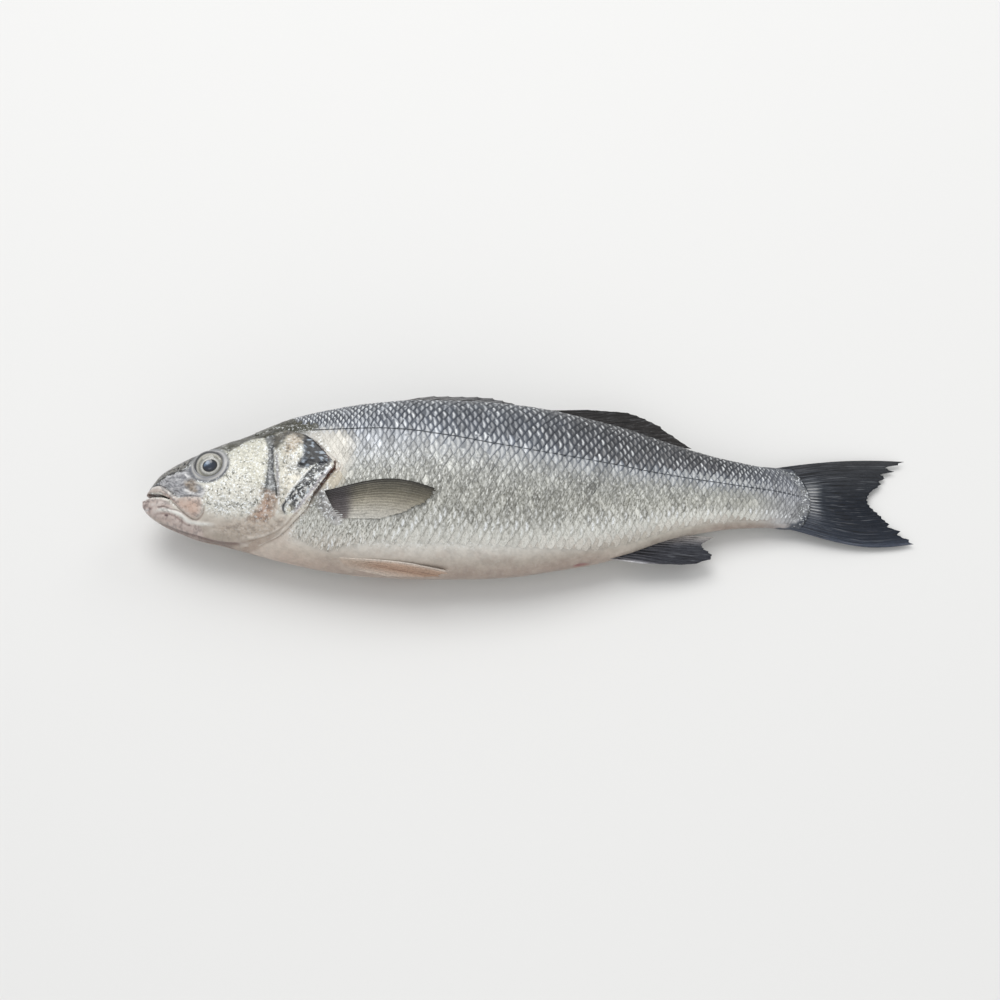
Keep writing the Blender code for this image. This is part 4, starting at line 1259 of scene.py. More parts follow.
# ------------------------------------------------------------------------------ head and trunk
@dataclass
class HeadSkin:
    """The head's skin: one closed form from the snout to the free edge of the gill covers."""

    form: FishForm
    colours: SkinColours
    eye_at: tuple[float, float] = EYE_AT
    rows: int = 200
    left_columns: int = 260
    right_columns: int = 170
    mouth_upper: Pairs = (
        (0, -4.8), (4.1, -5.0), (5.9, -5.7), (8.6, -6.5), (10.8, -7.2), (13.5, -8.2), (16.4, -9.9))
    mouth_lower: Pairs = (
        (0, -8.2), (2.7, -8.3), (4.4, -8.1), (7.1, -8.2), (11, -8.7), (13.5, -9.3), (16.4, -10.5))
    mouth_depth: float = 0.62
    first_ring: float = 0.04
    nose_rings: int = 8
    nose_bulge: float = 0.12
    nose_at: float = -6.6
    overbite: float = 2.8
    lip_back: float = 1.2
    lip_at: tuple[float, float] = (-9.2, 1.5)
    lower_rise: float = 0.75
    throat_end: float = 17.0
    throat_width: float = 0.35
    inner_end: float = 58.0
    hub_tints: tuple[Colour, Colour] = ((58, 26, 24), (60, 30, 30))
    rim: tuple[tuple[float, float], ...] = (
        (0.18, -0.12), (0.3, -0.4), (0.28, -0.8), (0.0, -1.1), (-0.9, -1.3), (-3.0, -1.7), (-6.0, -2.6))

    def rings(self) -> tuple[Array, Array, Array]:
        """s, angle and lift of the grid, with the rim turned in at the gill edge."""
        share = np.linspace(0, 1, self.rows)
        u = self.form.gill_sections[1] * (0.35 * share ** 2 + 0.65 * share)
        u[0] = self.first_ring
        left = np.linspace(0, math.pi, self.left_columns, endpoint=False)
        right = np.linspace(math.pi, 2 * math.pi, self.right_columns, endpoint=False)
        station, angle = np.meshgrid(u, np.concatenate([left, right]), indexing="ij")
        s = self.form.bent_section(station, angle)
        lower = ramp(turn_of(angle), 100, 120)
        lift = self.form.gill_cover_rise(s, angle) * (1 - self.lower_rise * lower)
        beyond = [(s[-1] + ds, angle[-1], lift[-1] + dl) for ds, dl in self.rim]
        s = np.vstack([s, *[b[0] for b in beyond]])
        angle = np.vstack([angle, *[b[1] for b in beyond]])
        return s, angle, np.vstack([lift, *[b[2] for b in beyond]])

    def with_nose(self, s: Array, d: Array, w: Array) -> tuple[Array, ...]:
        """Adds shrinking rings in front of the first, which close the blunt front of both jaws."""
        shares = np.linspace(0, 1, self.nose_rings + 1)[1:-1, None]
        middle = self.nose_at
        nose_s = s[:1] - self.nose_bulge * (1 - shares ** 2)
        nose_d = middle + (d[:1] - middle) * shares
        return np.vstack([nose_s, s]), np.vstack([nose_d, d]), np.vstack([w[:1] * shares, w])

    def set_back(self, s: Array, d: Array) -> Array:
        """s with the upper jaw a little shorter than the lower, and the lower lip set back."""
        upper = ramp(d - self.nose_at, -0.2, 0.8)
        lip = bell(d, *self.lip_at) * (1 - upper)
        return s + self.overbite * upper * ramp(s, 16, 2) + self.lip_back * lip * ramp(s, 8, 0)

    def mouth_gap(self, s: Array, d: Array) -> Array:
        """How far inside the parted lips each point of the skin is, from 0 to 1."""
        upper, lower = along(self.mouth_upper, s), along(self.mouth_lower, s)
        half = np.maximum((upper - lower) / 2, 0.15)
        off = np.abs(d - (upper + lower) / 2) / half
        return ramp(off, 1.25, 0.75) * ease((self.throat_end + 0.6 - s) / 1.5)

    def socket(self, s: Array, d: Array) -> tuple[Array, Array]:
        """Distance from the eye's centre, and the relief of the orbit round it."""
        reach = np.hypot(s - self.eye_at[0], (d - self.eye_at[1]) * 1.02)
        fold = 0.4 * bell(reach, 8.4, 0.7) - 0.25 * bell(reach, 9.7, 0.6)
        return reach, fold - 3.2 * ramp(reach, 7.9, 5.7)

    def paint(self, s: Array, d: Array, w: Array, angle: Array) -> tuple[Array, Array, Array]:
        """Colour, speckling and relief of the head's skin at each point."""
        turn = turn_of(angle)
        speckle = ramp(turn, 30, 50) * ramp(turn, 128, 106)
        paint = SkinPaint(HEAD_MARKINGS)
        tint, speckle, relief = paint.apply(s, d, w, self.colours.head_side.at(turn), speckle)
        # Nostrils: pits with painted shade inside them.
        for at_s, at_d, size in NOSTRILS:
            pit = ease(1.4 - np.hypot(s - at_s, d - at_d) / size)
            relief -= 0.7 * pit
            tint = mixed(tint, (30, 28, 30), pit * 0.9)
        reach, fold = self.socket(s, d)
        around = ease((11.9 - reach + 0.5 * mottled(s, d, 2.4, 14)) / 2.6)
        return self.orbit(s, d, reach, around, tint), speckle * (1 - around), relief + fold

    def orbit(self, s: Array, d: Array, reach: Array, around: Array, tint: Array) -> Array:
        """Paints the skin round the eye.

        Args:
            s: Distances from the snout.
            d: Heights above the axis.
            reach: Distances from the eye's centre.
            around: How far each point belongs to the ring of skin round the eye, from 0 to 1.
            tint: Colours so far.

        Returns:
            Colours with the grey ring, its dark edge, a pale fold, a dark line at the eye that is painted
            darker above as shade, and a painted shadow under the brow.
        """
        eye_s, eye_d = self.eye_at
        up, below = ramp(d - eye_d, -1, 4), ramp(d - eye_d, 2.5, -3.5)
        ahead = ramp(s - eye_s, 4, -3)
        under = bell(s - eye_s, -1.5, 2.6) * below
        # Painted shadow under the brow, and a dark line round the eye that is darker above and ahead as
        # painted shade.
        brow_shadow = up * bell(reach, 7.9, 0.5 + 0.6 * ahead) * (0.4 + 0.6 * ahead)
        line = ramp(reach, 7.9, 7.1) * (0.35 + 0.65 * up) * (0.5 + 0.5 * ahead)
        return layered(
            tint, ((156, 157, 162), around * 0.82),
            ((80, 82, 88), bell(reach, 10.5, 0.85) * (0.2 + 0.7 * below)),
            ((214, 211, 204), bell(reach, 9.1, 0.55) * (0.8 - 0.45 * up) * (1 - 0.8 * under)),
            ((106, 106, 110), bell(reach, 8.3, 0.5) * below * 0.6),
            ((38, 36, 36), np.maximum(line, brow_shadow * 0.95)))

    def build(self, finish: bpy.types.Material) -> bpy.types.Object:
        """Makes the head's skin.

        Args:
            finish: Its material.

        Returns:
            The object.
        """
        form = self.form
        s, angle, lift = self.rings()
        s, d, w = self.with_nose(*form.section_point(s, angle, lift))
        rows = len(s)
        angle = np.vstack([angle[:1]] * (rows - len(angle)) + [angle])
        placed = self.set_back(s, d)
        points = form.at_rest(placed, d, w, floor=form.underside_clear)
        tint, speckle, relief = self.paint(placed, d, w, angle)
        front = np.arange(rows)[:, None] < rows - len(self.rim)
        calm = ramp(s, 0.2, 5.2)
        points = points + ring_normals(points) * (relief * front * calm)[..., None] * MM
        gap = self.mouth_gap(placed, d) * front
        middle = (along(self.mouth_lower, s) + along(self.mouth_upper, s)) / 2
        inner = form.at_rest(self.throat_end, middle, w * self.throat_width)
        points = points + (inner - points) * (gap * self.mouth_depth)[..., None]
        # Inside the parted lips: red-brown skin, darker deeper in and further back as painted shade.
        tint = layered(tint, ((98, 58, 48), ease(gap * 6)),
                       ((44, 22, 22), ease(gap * 2.4 - 0.4) * (0.6 + 0.35 * ramp(placed, 6, 14))))
        points[..., 2] = np.maximum(points[..., 2], form.underside_clear * MM)
        hubs = (form.at_rest(self.throat_end * self.mouth_depth, self.nose_at, 0.0),
                form.at_rest(self.inner_end, 0.0, 0.0))
        return dressed_tube("head_skin", points, hubs, tint, self.hub_tints, speckle, finish)


def ring_map(rows: int, columns: int) -> Array:
    """Bake place of each face corner of a closed tube, with the fans at its ends in strips.

    Args:
        rows: Rings in the grid.
        columns: Points in a ring.

    Returns:
        A (u, v) for each corner, in the order of tube_faces.
    """
    band = 0.04
    r, c = np.meshgrid(np.arange(rows - 1), np.arange(columns), indexing="ij")
    tall = 1 - 2 * band
    quads = np.stack([np.stack([(c + a) / columns, (r + b) / (rows - 1) * tall], -1)
                      for a, b in ((0, 0), (1, 0), (1, 1), (0, 1))], axis=2)
    c = np.arange(columns)
    fans = []
    for number, (second, third) in enumerate(((1, 0), (0, 1))):
        low = tall + band * (number + 0.1)
        high = low + band * 0.8
        corners = [np.stack([(c + a) / columns, np.full(columns, v)], -1)
                   for a, v in ((0.5, high), (second, low), (third, low))]
        fans.append(np.stack(corners, axis=1).reshape(-1, 2))
    return np.vstack([quads.reshape(-1, 2), *fans])


def dressed_tube(name: str, points: Array, hubs: Sequence[Array], tint: Array,
                 hub_tints: Sequence[Colour], speckle: Array, finish: bpy.types.Material
                 ) -> bpy.types.Object:
    """Makes a closed tube of skin from rings of points.

    Args:
        name: The piece's name.
        points: Positions in metres, by ring and column.
        hubs: The point that closes each end.
        tint: Colour of each point.
        hub_tints: Colours of the hubs.
        speckle: Speckling of each point.
        finish: The skin's material.

    Returns:
        The object.
    """
    rows, columns = points.shape[:2]
    piece = Piece(name, np.vstack([points.reshape(-1, 3), *hubs]), tube_faces(rows, columns))
    piece.colour("tint", np.vstack([tint.reshape(-1, 3), *hub_tints]))
    piece.number("speckle", np.append(speckle.ravel(), [0, 0]))
    piece.bake_map(ring_map(rows, columns))
    return piece.dress(finish, "skin", ["body"])


@dataclass
class TrunkSkin:
    """The skin under the scales, from inside the gill covers to the root of the tail fin."""

    form: FishForm
    colours: SkinColours
    coat: ScaleCoat
    starts_inside: float = 9.0
    close_length: float = 12.0
    gap_between: float = 0.6
    tail_rows: tuple[float, float] = (342.0, 343.5)
    row_counts: tuple[int, int, int] = (26, 226, 18)
    columns: int = 250
    under_form: float = 0.06
    under_scales: float = 0.5
    gill_hollow: float = 1.1
    lower_hollow: float = 0.85
    tail_tuck: float = 1.5
    vent: tuple[float, float, float] = (235.2, 3.6, 2.0)
    vent_depth: float = 0.5
    inner_end: float = 70.0
    tail_hub: tuple[float, float] = (0.2, 1.1)
    hub_tints: tuple[Colour, Colour] = ((90, 60, 60), (120, 120, 124))

    def grid(self) -> tuple[Array, Array]:
        """s and angle of each point, in rows that lie closest at the gill covers."""
        first = self.form.gill_sections[1] - self.starts_inside
        close = first + self.close_length
        spans = ((first, close), (close + self.gap_between, self.tail_rows[0]),
                 (self.tail_rows[1], self.form.body_end))
        u = np.concatenate([np.linspace(*span, count) for span, count in zip(spans, self.row_counts)])
        angles = np.arange(self.columns) * math.tau / self.columns
        station, angle = np.meshgrid(u, angles, indexing="ij")
        return self.form.bent_section(station, angle), angle

    def nape(self, s: Array, turn: Array, tint: Array) -> Array:
        """Paints the flecked olive skin ahead of the first scales."""
        nape = ramp(s, 82, 72) * ramp(turn, 60, 48)
        across = turn * 0.45
        flecks = mottled(s, across, 1.2, 15, 1.2) + 0.6 * mottled(s, across, 0.7, 16)
        return layered(tint, ((68, 67, 54), nape * 0.8),
                       ((38, 38, 32), nape * ramp(flecks, 0, 0.7) * 0.6),
                       ((124, 122, 108), nape * ramp(flecks, -0.2, -0.9) * 0.5))

    def belly(self, s: Array, w: Array, bare: Array, tint: Array) -> Array:
        """Paints faint folds where the belly is bare of scales."""
        folds = mottled(s, w, 3.2, 17, 2.2) + 0.6 * mottled(s, w, 1.3, 18)
        return layered(tint, ((150, 130, 118), bare * ramp(folds, 0.1, 0.9) * 0.18),
                       ((206, 196, 184), bare * ramp(folds, -0.1, -0.9) * 0.18))

    def build(self, finish: bpy.types.Material) -> bpy.types.Object:
        """Makes the trunk's skin.

        Args:
            finish: Its material.

        Returns:
            The object.
        """
        form, coat = self.form, self.coat
        s, angle = self.grid()
        turn = turn_of(angle)
        section_s, d, w = form.section_point(s, angle)
        speckle = ramp(turn, 20, 40) * (0.06 + 0.69 * ramp(turn, 150, 130))
        paint = SkinPaint((PECTORAL_BASE,))
        tint, speckle, relief = paint.apply(section_s, d, w, self.colours.skin(section_s, d), speckle)
        covered = coat.cover(s, angle) * (1 - ease(PECTORAL_BASE.weight(section_s, d) * 2))
        in_gill = (1 - ramp(s - form.gill_edge_at(angle), 0.2, 2.8)) * ramp(turn, 34, 48)
        vent_s, vent_length, vent_width = self.vent
        vent = ease(1.5 - np.hypot((section_s - vent_s) / vent_length, w / vent_width)) * (turn > 150)
        hollow = self.gill_hollow * (1 - self.lower_hollow * ramp(turn, 98, 114))
        lift = (relief - self.under_form - self.under_scales * covered - hollow * in_gill
                - self.tail_tuck * ramp(s, 346, 359) * ramp(turn, 132, 164) - self.vent_depth * vent)
        section_s, d, w = form.section_point(s, angle, lift)
        points = form.at_rest(section_s, d, w, floor=form.underside_clear)
        tint = self.nape(s, turn, tint)
        # Painted shadow in the gap under the gill cover's edge, paler and browner low down, and painted
        # shade on skin that the scales cover.
        shadow = 1 - 0.9 * ramp(turn, 98, 112)
        tint = layered(tint, ((112, 80, 70), in_gill * shadow * 0.9),
                       ((150, 134, 120), in_gill * (1 - shadow) * 0.5),
                       ((84, 86, 84), ease(covered) * 0.3), ((118, 62, 60), vent * 0.85))
        tint = self.belly(section_s, w, ramp(turn - along(coat.belly_turn, s), -8, 2), tint)
        tint = self.colours.tail_end(section_s, d, s - along(coat.last, turn), tint)
        behind, up = self.tail_hub
        hubs = (form.at_rest(self.inner_end, 0.0, 0.0), form.at_rest(form.body_end + behind, up, 0.0))
        return dressed_tube("trunk_skin", points, hubs, tint, self.hub_tints, speckle, finish)


@dataclass(frozen=True)
class Fade:
    """How scales are toned down, from 0 to 1 for each scale."""

    calm: Array
    belly: Array
    left: Array
    ending: Array

    @property
    def soft(self) -> Array:
        """Where scales lie flat and pale: behind the gill cover and along the belly."""
        return np.maximum(self.calm, self.belly)


@dataclass
class ScaleCoat:
    """Overlapping scales in rows counted from the lateral line, like tiles laid towards the tail."""

    form: FishForm
    colours: SkinColours
    pitch: Pairs = ((60, 2.5), (82, 2.8), (110, 3.4), (132, 4.2), (150, 4.7), (200, 4.8), (280, 4.1),
                    (330, 3.3), (350, 2.5), (366, 1.8))
    row_gap: Pairs = ((60, 2.35), (82, 2.5), (110, 2.95), (132, 3.45), (150, 3.72), (180, 3.7),
                      (240, 3.35), (300, 2.6), (335, 2.2), (350, 1.9), (366, 1.7))
    front: Pairs = ((0, 67.5), (25, 69), (36, 76), (45, 89), (52, 95), (62, 97.5), (76, 103), (87, 108),
                    (92, 106), (107, 97.5), (116, 93.5), (126, 88), (141, 80), (154, 74), (180, 68))
    last: Pairs = ((0, 335), (27, 347), (35, 353), (58, 359), (82, 360.5), (110, 360.5), (136, 358),
                   (160, 355), (180, 347))
    belly_turn: Pairs = ((80, 146), (87, 152), (94, 157), (101, 160), (113, 153), (132, 148), (171, 148),
                         (190, 150), (210, 155), (230, 161), (250, 165), (268, 166), (290, 164),
                         (301, 163), (340, 163), (351, 158))
    span: tuple[float, float] = (60.0, 372.0)
    ragged_end: float = 5.5
    overlap: float = 1.14
    tilt_deg: float = 3.4
    jitter_deg: tuple[float, float, float] = (2.2, 2.0, 3.0)

    def cover(self, s: Array, angle: Array) -> Array:
        """How fully the scales cover the skin, from 0 to 1."""
        turn = turn_of(angle)
        start = ease((s - along(self.front, turn)) / 4)
        below = along(self.belly_turn, s)
        return start * (1 - ramp(turn - below, -16, -2)) * ease((along(self.last, turn) - s) / 4)

    def unit_scale(self) -> bpy.types.Object:
        """One scale, one unit from tip to tip of its neighbours and one unit to the next row."""
        rows, columns = 6, 7
        across = np.linspace(-1, 1, columns)
        points, place = [], []
        for t in (0.0, 0.3, 0.55, 0.76, 0.92, 1.0, 1.0):
            skirt = len(points) >= rows * columns
            for v in across:
                edge = 0.5 * (1 - abs(v) ** 1.6)
                root = -0.68 + 0.1 * v * v
                width = self.overlap * (0.72 + 0.28 * min(t / 0.55, 1))
                drop = 0.28 if t == 1.0 else 0.05 if t > 0.9 else 0.0
                x = root + (edge - root) * t - (0.02 if skirt else 0)
                points.append((x, v * width, -v * v - drop - (2.0 if skirt else 0)))
                place.append(((v + 1) / 2, t))
        mesh = bpy.data.meshes.new("unit_scale")
        faces = [face[::-1] for face in grid_faces(rows + 1, columns)]
        mesh.from_pydata(points, [], faces)
        layer = mesh.uv_layers.new(name="Scale")
        layer.data.foreach_set("uv", corner_map(faces, np.array(place)).ravel())
        made = bpy.data.objects.new("unit_scale", mesh)
        bpy.context.scene.collection.objects.link(made)
        made.hide_render = True
        return made

    def lattice(self, flank: Flank) -> dict[str, Array]:
        """Where the scales of one flank lie.

        Args:
            flank: The flank.

        Returns:
            Arrays of s, angle, pitch, row gap and how fast the section curves, one entry per scale.
        """
        fine = np.linspace(*self.span, 1600)
        pitches = along(self.pitch, (fine[1:] + fine[:-1]) / 2)
        count = np.concatenate([[0], np.cumsum(np.diff(fine) / pitches)])
        draw = np.random.default_rng(SEED + 50 + flank.value)
        found: list[tuple[float, ...]] = []
        for half_step in range(2 * int(count[-1])):
            s = float(np.interp(half_step / 2, count, fine))
            found += self.ring(s, half_step, flank, draw)
        return dict(zip(("s", "angle", "pitch", "gap", "sag"), np.array(found).T))

    def ring(self, s: float, number: int, flank: Flank, draw: np.random.Generator
             ) -> Iterable[tuple[float, ...]]:
        """Finds the scales of every other row at one distance from the snout.

        Args:
            s: The distance.
            number: Its number, which says which rows have a scale here.
            flank: The flank.
            draw: Source of the chance raggedness at the tail.

        Yields:
            The values of lattice for each scale, from the back to the belly.
        """
        form = self.form
        angles = np.radians(np.linspace(0, 180, 361)) * flank.value
        _, d, w = form.section_point(np.full(len(angles), min(s, form.body_end)), angles)
        arc = np.concatenate([[0], np.cumsum(np.hypot(np.diff(d), np.diff(w)))])
        line = float(np.interp(-along(form.lateral_line, s), -d, arc))
        gap = float(along(self.row_gap, s))
        for row in range(-int(line / gap) - 1, int((arc[-1] - line) / gap) + 1):
            at = line + row * gap
            if (row + number) % 2 or not 0.25 * gap < at < arc[-1] - 0.2 * gap:
                continue
            angle = float(np.interp(at, arc, angles * flank.value)) * flank.value
            turn = math.degrees(abs(angle))
            end = float(along(self.last, turn)) - self.ragged_end * draw.random() ** 1.6
            if not along(self.front, turn) < s < end or turn > along(self.belly_turn, s):
                continue
            near = np.array([at - gap, at, at + gap])
            dd, ww = np.interp(near, arc, d), np.interp(near, arc, w)
            if PECTORAL_BASE.weight(np.array([s]), dd[1:2])[0] > 0.45:
                continue
            chord = np.hypot(dd[2] - dd[0], ww[2] - ww[0])
            sag = np.hypot(np.diff(dd, 2), np.diff(ww, 2))[0] * gap / max(chord, 1)
            yield s, angle, float(along(self.pitch, s)), gap, sag

    def facing(self, s: Array, angle: Array, tilt: Array) -> Array:
        """Euler turns that lay each scale on the surface, its free edge raised by the tilt."""
        form = self.form
        step = 0.4
        back = form.body_at_rest(s + step, angle) - form.body_at_rest(s - step, angle)
        spin = np.sign(angle) * 0.01
        down = form.body_at_rest(s, angle + spin) - form.body_at_rest(s, angle - spin)
        turns = np.empty((len(s), 3))
        for i in range(len(s)):
            x = Vector(back[i]).normalized()
            y = -Vector(down[i]).normalized()
            z = x.cross(y).normalized() * float(np.sign(angle[i]))
            x = (x * math.cos(tilt[i]) + z * math.sin(tilt[i])).normalized()
            y = z.cross(x).normalized()
            turns[i] = Matrix((x, y, x.cross(y))).transposed().to_euler()
        return turns

    def build(self, finish: bpy.types.Material, flank: Flank) -> bpy.types.Object:
        """Grows the scales of one flank by Geometry Nodes.

        Args:
            finish: Their material.
            flank: The flank.

        Returns:
            The object.
        """
        at = self.lattice(flank)
        s, angle = at["s"], at["angle"]
        turn = turn_of(angle)
        start, below = along(self.front, turn), along(self.belly_turn, s)
        fade = Fade(calm=(1 - ramp(s - start, 2, 13)) * ramp(turn, 46, 54) * ramp(turn, 106, 98),
                    belly=ramp(turn - below, -24, -4), left=ramp(turn - below, 0, -15),
                    ending=ramp(s - along(self.last, turn), -10, -1))
        sunk = 0.12 + 0.48 * ramp(turn - below, -16, -1) + 0.55 * fade.ending
        draw = np.random.default_rng(SEED + flank.value)
        s = s + at["pitch"] * (0.05 * draw.normal(0, 1, len(s)) + 0.2 * mottled(s, turn, 13, 21))
        stray = 0.25 * draw.normal(0, 1, len(s)) + 1.1 * mottled(s, turn, 17, 22)
        angle = angle + flank.value * np.radians(stray)
        tilt = np.radians(self.tilt_deg * (1 - 0.6 * np.maximum(fade.soft, fade.ending)))
        carrier = Piece(f"scales_{flank.name.lower()}", self.form.body_at_rest(s, angle, -sunk))
        self.tone(carrier, s, angle, fade, draw)
        carrier.vector("facing", self.facing(s, angle, tilt))
        size = np.stack([at["pitch"], at["gap"], np.clip(at["sag"] * self.overlap ** 2, 0.1, 0.9)], -1)
        size[:, :2] *= draw.uniform(0.95, 1.08, (len(s), 1))
        carrier.number("unrest", 1 - 0.75 * fade.soft)
        carrier.vector("size_mm", size)
        cells = int(math.ceil(math.sqrt(len(s))))
        number = np.arange(len(s))
        carrier.vector("cell", np.stack([number % cells, number // cells, 0 * number], -1))
        unit = self.unit_scale()
        self.grow(carrier, unit, finish, flank)
        self.map_cells(carrier, cells)
        bpy.data.objects.remove(unit)
        return carrier.dress(finish, "skin", ["body"])

    def tone(self, carrier: Piece, s: Array, angle: Array, fade: Fade, draw: np.random.Generator) -> None:
        """Stores the colours of each scale, and how strong its rim, strokes and glint are.

        Args:
            carrier: The piece with a point for each scale.
            s: Distance of each scale from the snout.
            angle: Its radians round the section.
            fade: How each scale is toned down.
            draw: Source of the chance differences between scales.
        """
        colours, count = self.colours, len(s)
        section_s, d, _ = self.form.section_point(np.minimum(s, self.form.body_end), angle)
        middle, rim = colours.scales(section_s, d - 1.6 * fade.belly)
        place = colours.tone_place(section_s, d)
        fore = ramp(place, 0, 0.1) * ramp(section_s, 176, 116)
        drift = 0.5 * mottled(section_s, d, 9, 23, 1.6)
        smooth = np.maximum(fade.soft, ramp(place, -0.62, -0.74))
        shade = 1 + (draw.normal(0, 0.085, count) + 0.07 * drift) * (1 - 0.8 * smooth)
        shade = shade * (1 - 0.3 * fade.ending * draw.random(count))
        carrier.colour("tint", np.clip(middle * shade[:, None], 0, 246))
        carrier.colour("rim_tint", np.clip(rim * shade[:, None], 0, 246))
        lower = place + (0.2 * ramp(s, 152, 116) + 0.05) * ramp(place, -0.4, -0.6)
        width = along(colours.rim_width, place) * (1 - 0.2 * fore)
        carrier.number("rim", width * draw.uniform(0.78, 1.2, count))
        dark = along(colours.rim_strength, lower)
        carrier.number("rim_strength", (1 - 0.9 * fade.calm) * fade.left * dark)
        tail = 1 - 0.75 * ramp(s, 285, 335)
        stroke = along(colours.stroke, lower) * (1 - fade.calm) * tail * fade.left
        carrier.number("stroke", stroke * draw.uniform(0.7, 1.0, count))
        spark = 0.22 + 0.9 * draw.random(count) ** 1.4 + 0.25 * drift
        shine = along(colours.glint, lower) * (1 - 0.6 * fade.calm) * fade.left * (1 + 0.35 * fore)
        shine = shine * (1 - 0.85 * NAPE.weight(section_s, d)) * (1 - 0.8 * fade.ending)
        carrier.number("glint", np.clip(shine * spark, 0, 1))
        carrier.number("pick", draw.random(count))
        carrier.number("slant", draw.uniform(0.25, 0.75, count) * ramp(place, -0.05, 0.15)
                       - draw.uniform(0.1, 0.6, count) * ramp(place, -0.35, -0.55))

    def grow(self, carrier: Piece, unit: bpy.types.Object, finish: bpy.types.Material, flank: Flank
             ) -> None:
        """Puts a scale on each point of the carrier, each turned a little at random."""
        shape = NodeShape(f"scale_coat_{flank.name.lower()}")
        pattern = shape.input("Scale", "Object", unit)
        seed = shape.input("Seed", "Int", SEED + flank.value)
        size = shape.input("Millimetre", "Float", MM)
        wobble = shape.input("Wobble", "Vector", [math.radians(j) for j in self.jitter_deg])
        most = shape.add("ShaderNodeVectorMath", {0: wobble, "Scale": shape.attribute("unrest", "FLOAT")},
                         operation="SCALE")
        least = shape.add("ShaderNodeVectorMath", {0: most.outputs[0], "Scale": -1.0}, operation="SCALE")
        random = shape.add("FunctionNodeRandomValue",
                           {"Min": least.outputs[0], "Max": most.outputs[0], "Seed": seed},
                           data_type="FLOAT_VECTOR")
        tip = shape.add("FunctionNodeEulerToRotation", {0: random.outputs[0]})
        facing = shape.add("FunctionNodeEulerToRotation", {0: shape.attribute("facing", "FLOAT_VECTOR")})
        turned = shape.add("FunctionNodeRotateRotation", {0: facing.outputs[0], 1: tip.outputs[0]},
                           rotation_space="LOCAL")
        scaled = shape.add("ShaderNodeVectorMath",
                           {0: shape.attribute("size_mm", "FLOAT_VECTOR"), "Scale": size},
                           operation="SCALE")
        one = shape.add("GeometryNodeObjectInfo", {"Object": pattern})
        dots = shape.add("GeometryNodeMeshToPoints", {"Mesh": shape.source.outputs["Geometry"]})
        coat = shape.add("GeometryNodeInstanceOnPoints",
                         {"Points": dots.outputs[0], "Instance": one.outputs["Geometry"],
                          "Rotation": turned.outputs[0], "Scale": scaled.outputs[0]})
        shape.grow(coat.outputs[0], carrier, finish)

    def map_cells(self, piece: Piece, cells: int) -> None:
        """Gives each scale a square of its own in the bake map, and keeps it off the surface below."""
        mesh = piece.mesh
        local = np.empty(len(mesh.loops) * 2)
        mesh.uv_layers["Scale"].data.foreach_get("uv", local)
        corner = np.empty(len(mesh.loops), int)
        mesh.loops.foreach_get("vertex_index", corner)
        cell = np.empty(len(mesh.vertices) * 3)
        mesh.attributes["cell"].data.foreach_get("vector", cell)
        where = (cell.reshape(-1, 3)[corner, :2] + 0.08 + 0.84 * local.reshape(-1, 2)) / cells
        piece.bake_map(where)
        co = np.empty(len(mesh.vertices) * 3)
        mesh.vertices.foreach_get("co", co)
        co[2::3] = np.maximum(co[2::3], self.form.underside_clear * MM)
        mesh.vertices.foreach_set("co", co)
        mesh.update()


@dataclass
class LateralLine:
    """The row of pored scales' dark tubes along each flank."""

    form: FishForm
    coat: ScaleCoat
    starts_at: float = 93.0
    stops_before: float = 4.0
    radius: float = 0.22
    shape: tuple[float, ...] = (0.5, 0.9, 1.0, 0.9, 0.6)
    tint: Colour = (66, 70, 74)

    def build(self, finish: bpy.types.Material) -> bpy.types.Object:
        """Makes the tubes of both flanks as one piece."""
        tubes = Tubes("lateral_line")
        for flank in Flank:
            s = self.starts_at
            while s < self.form.body_end - self.stops_before:
                pitch = float(along(self.coat.pitch, s))
                span = s + pitch * np.linspace(-0.1, 0.78 if s > 190 else 0.9, 5)
                angle = self.form.angle_of(span, along(self.form.lateral_line, span)) * flank.value
                lift = 0.06 + 0.14 * np.linspace(0, 1, 5)
                radius = self.radius * (1.0 if s < 200 else 0.9) * np.array(self.shape)
                tubes.add(self.form.body_at_rest(span, angle, lift), radius, self.tint)
                s += pitch
        return tubes.build(finish).dress(finish, "skin")


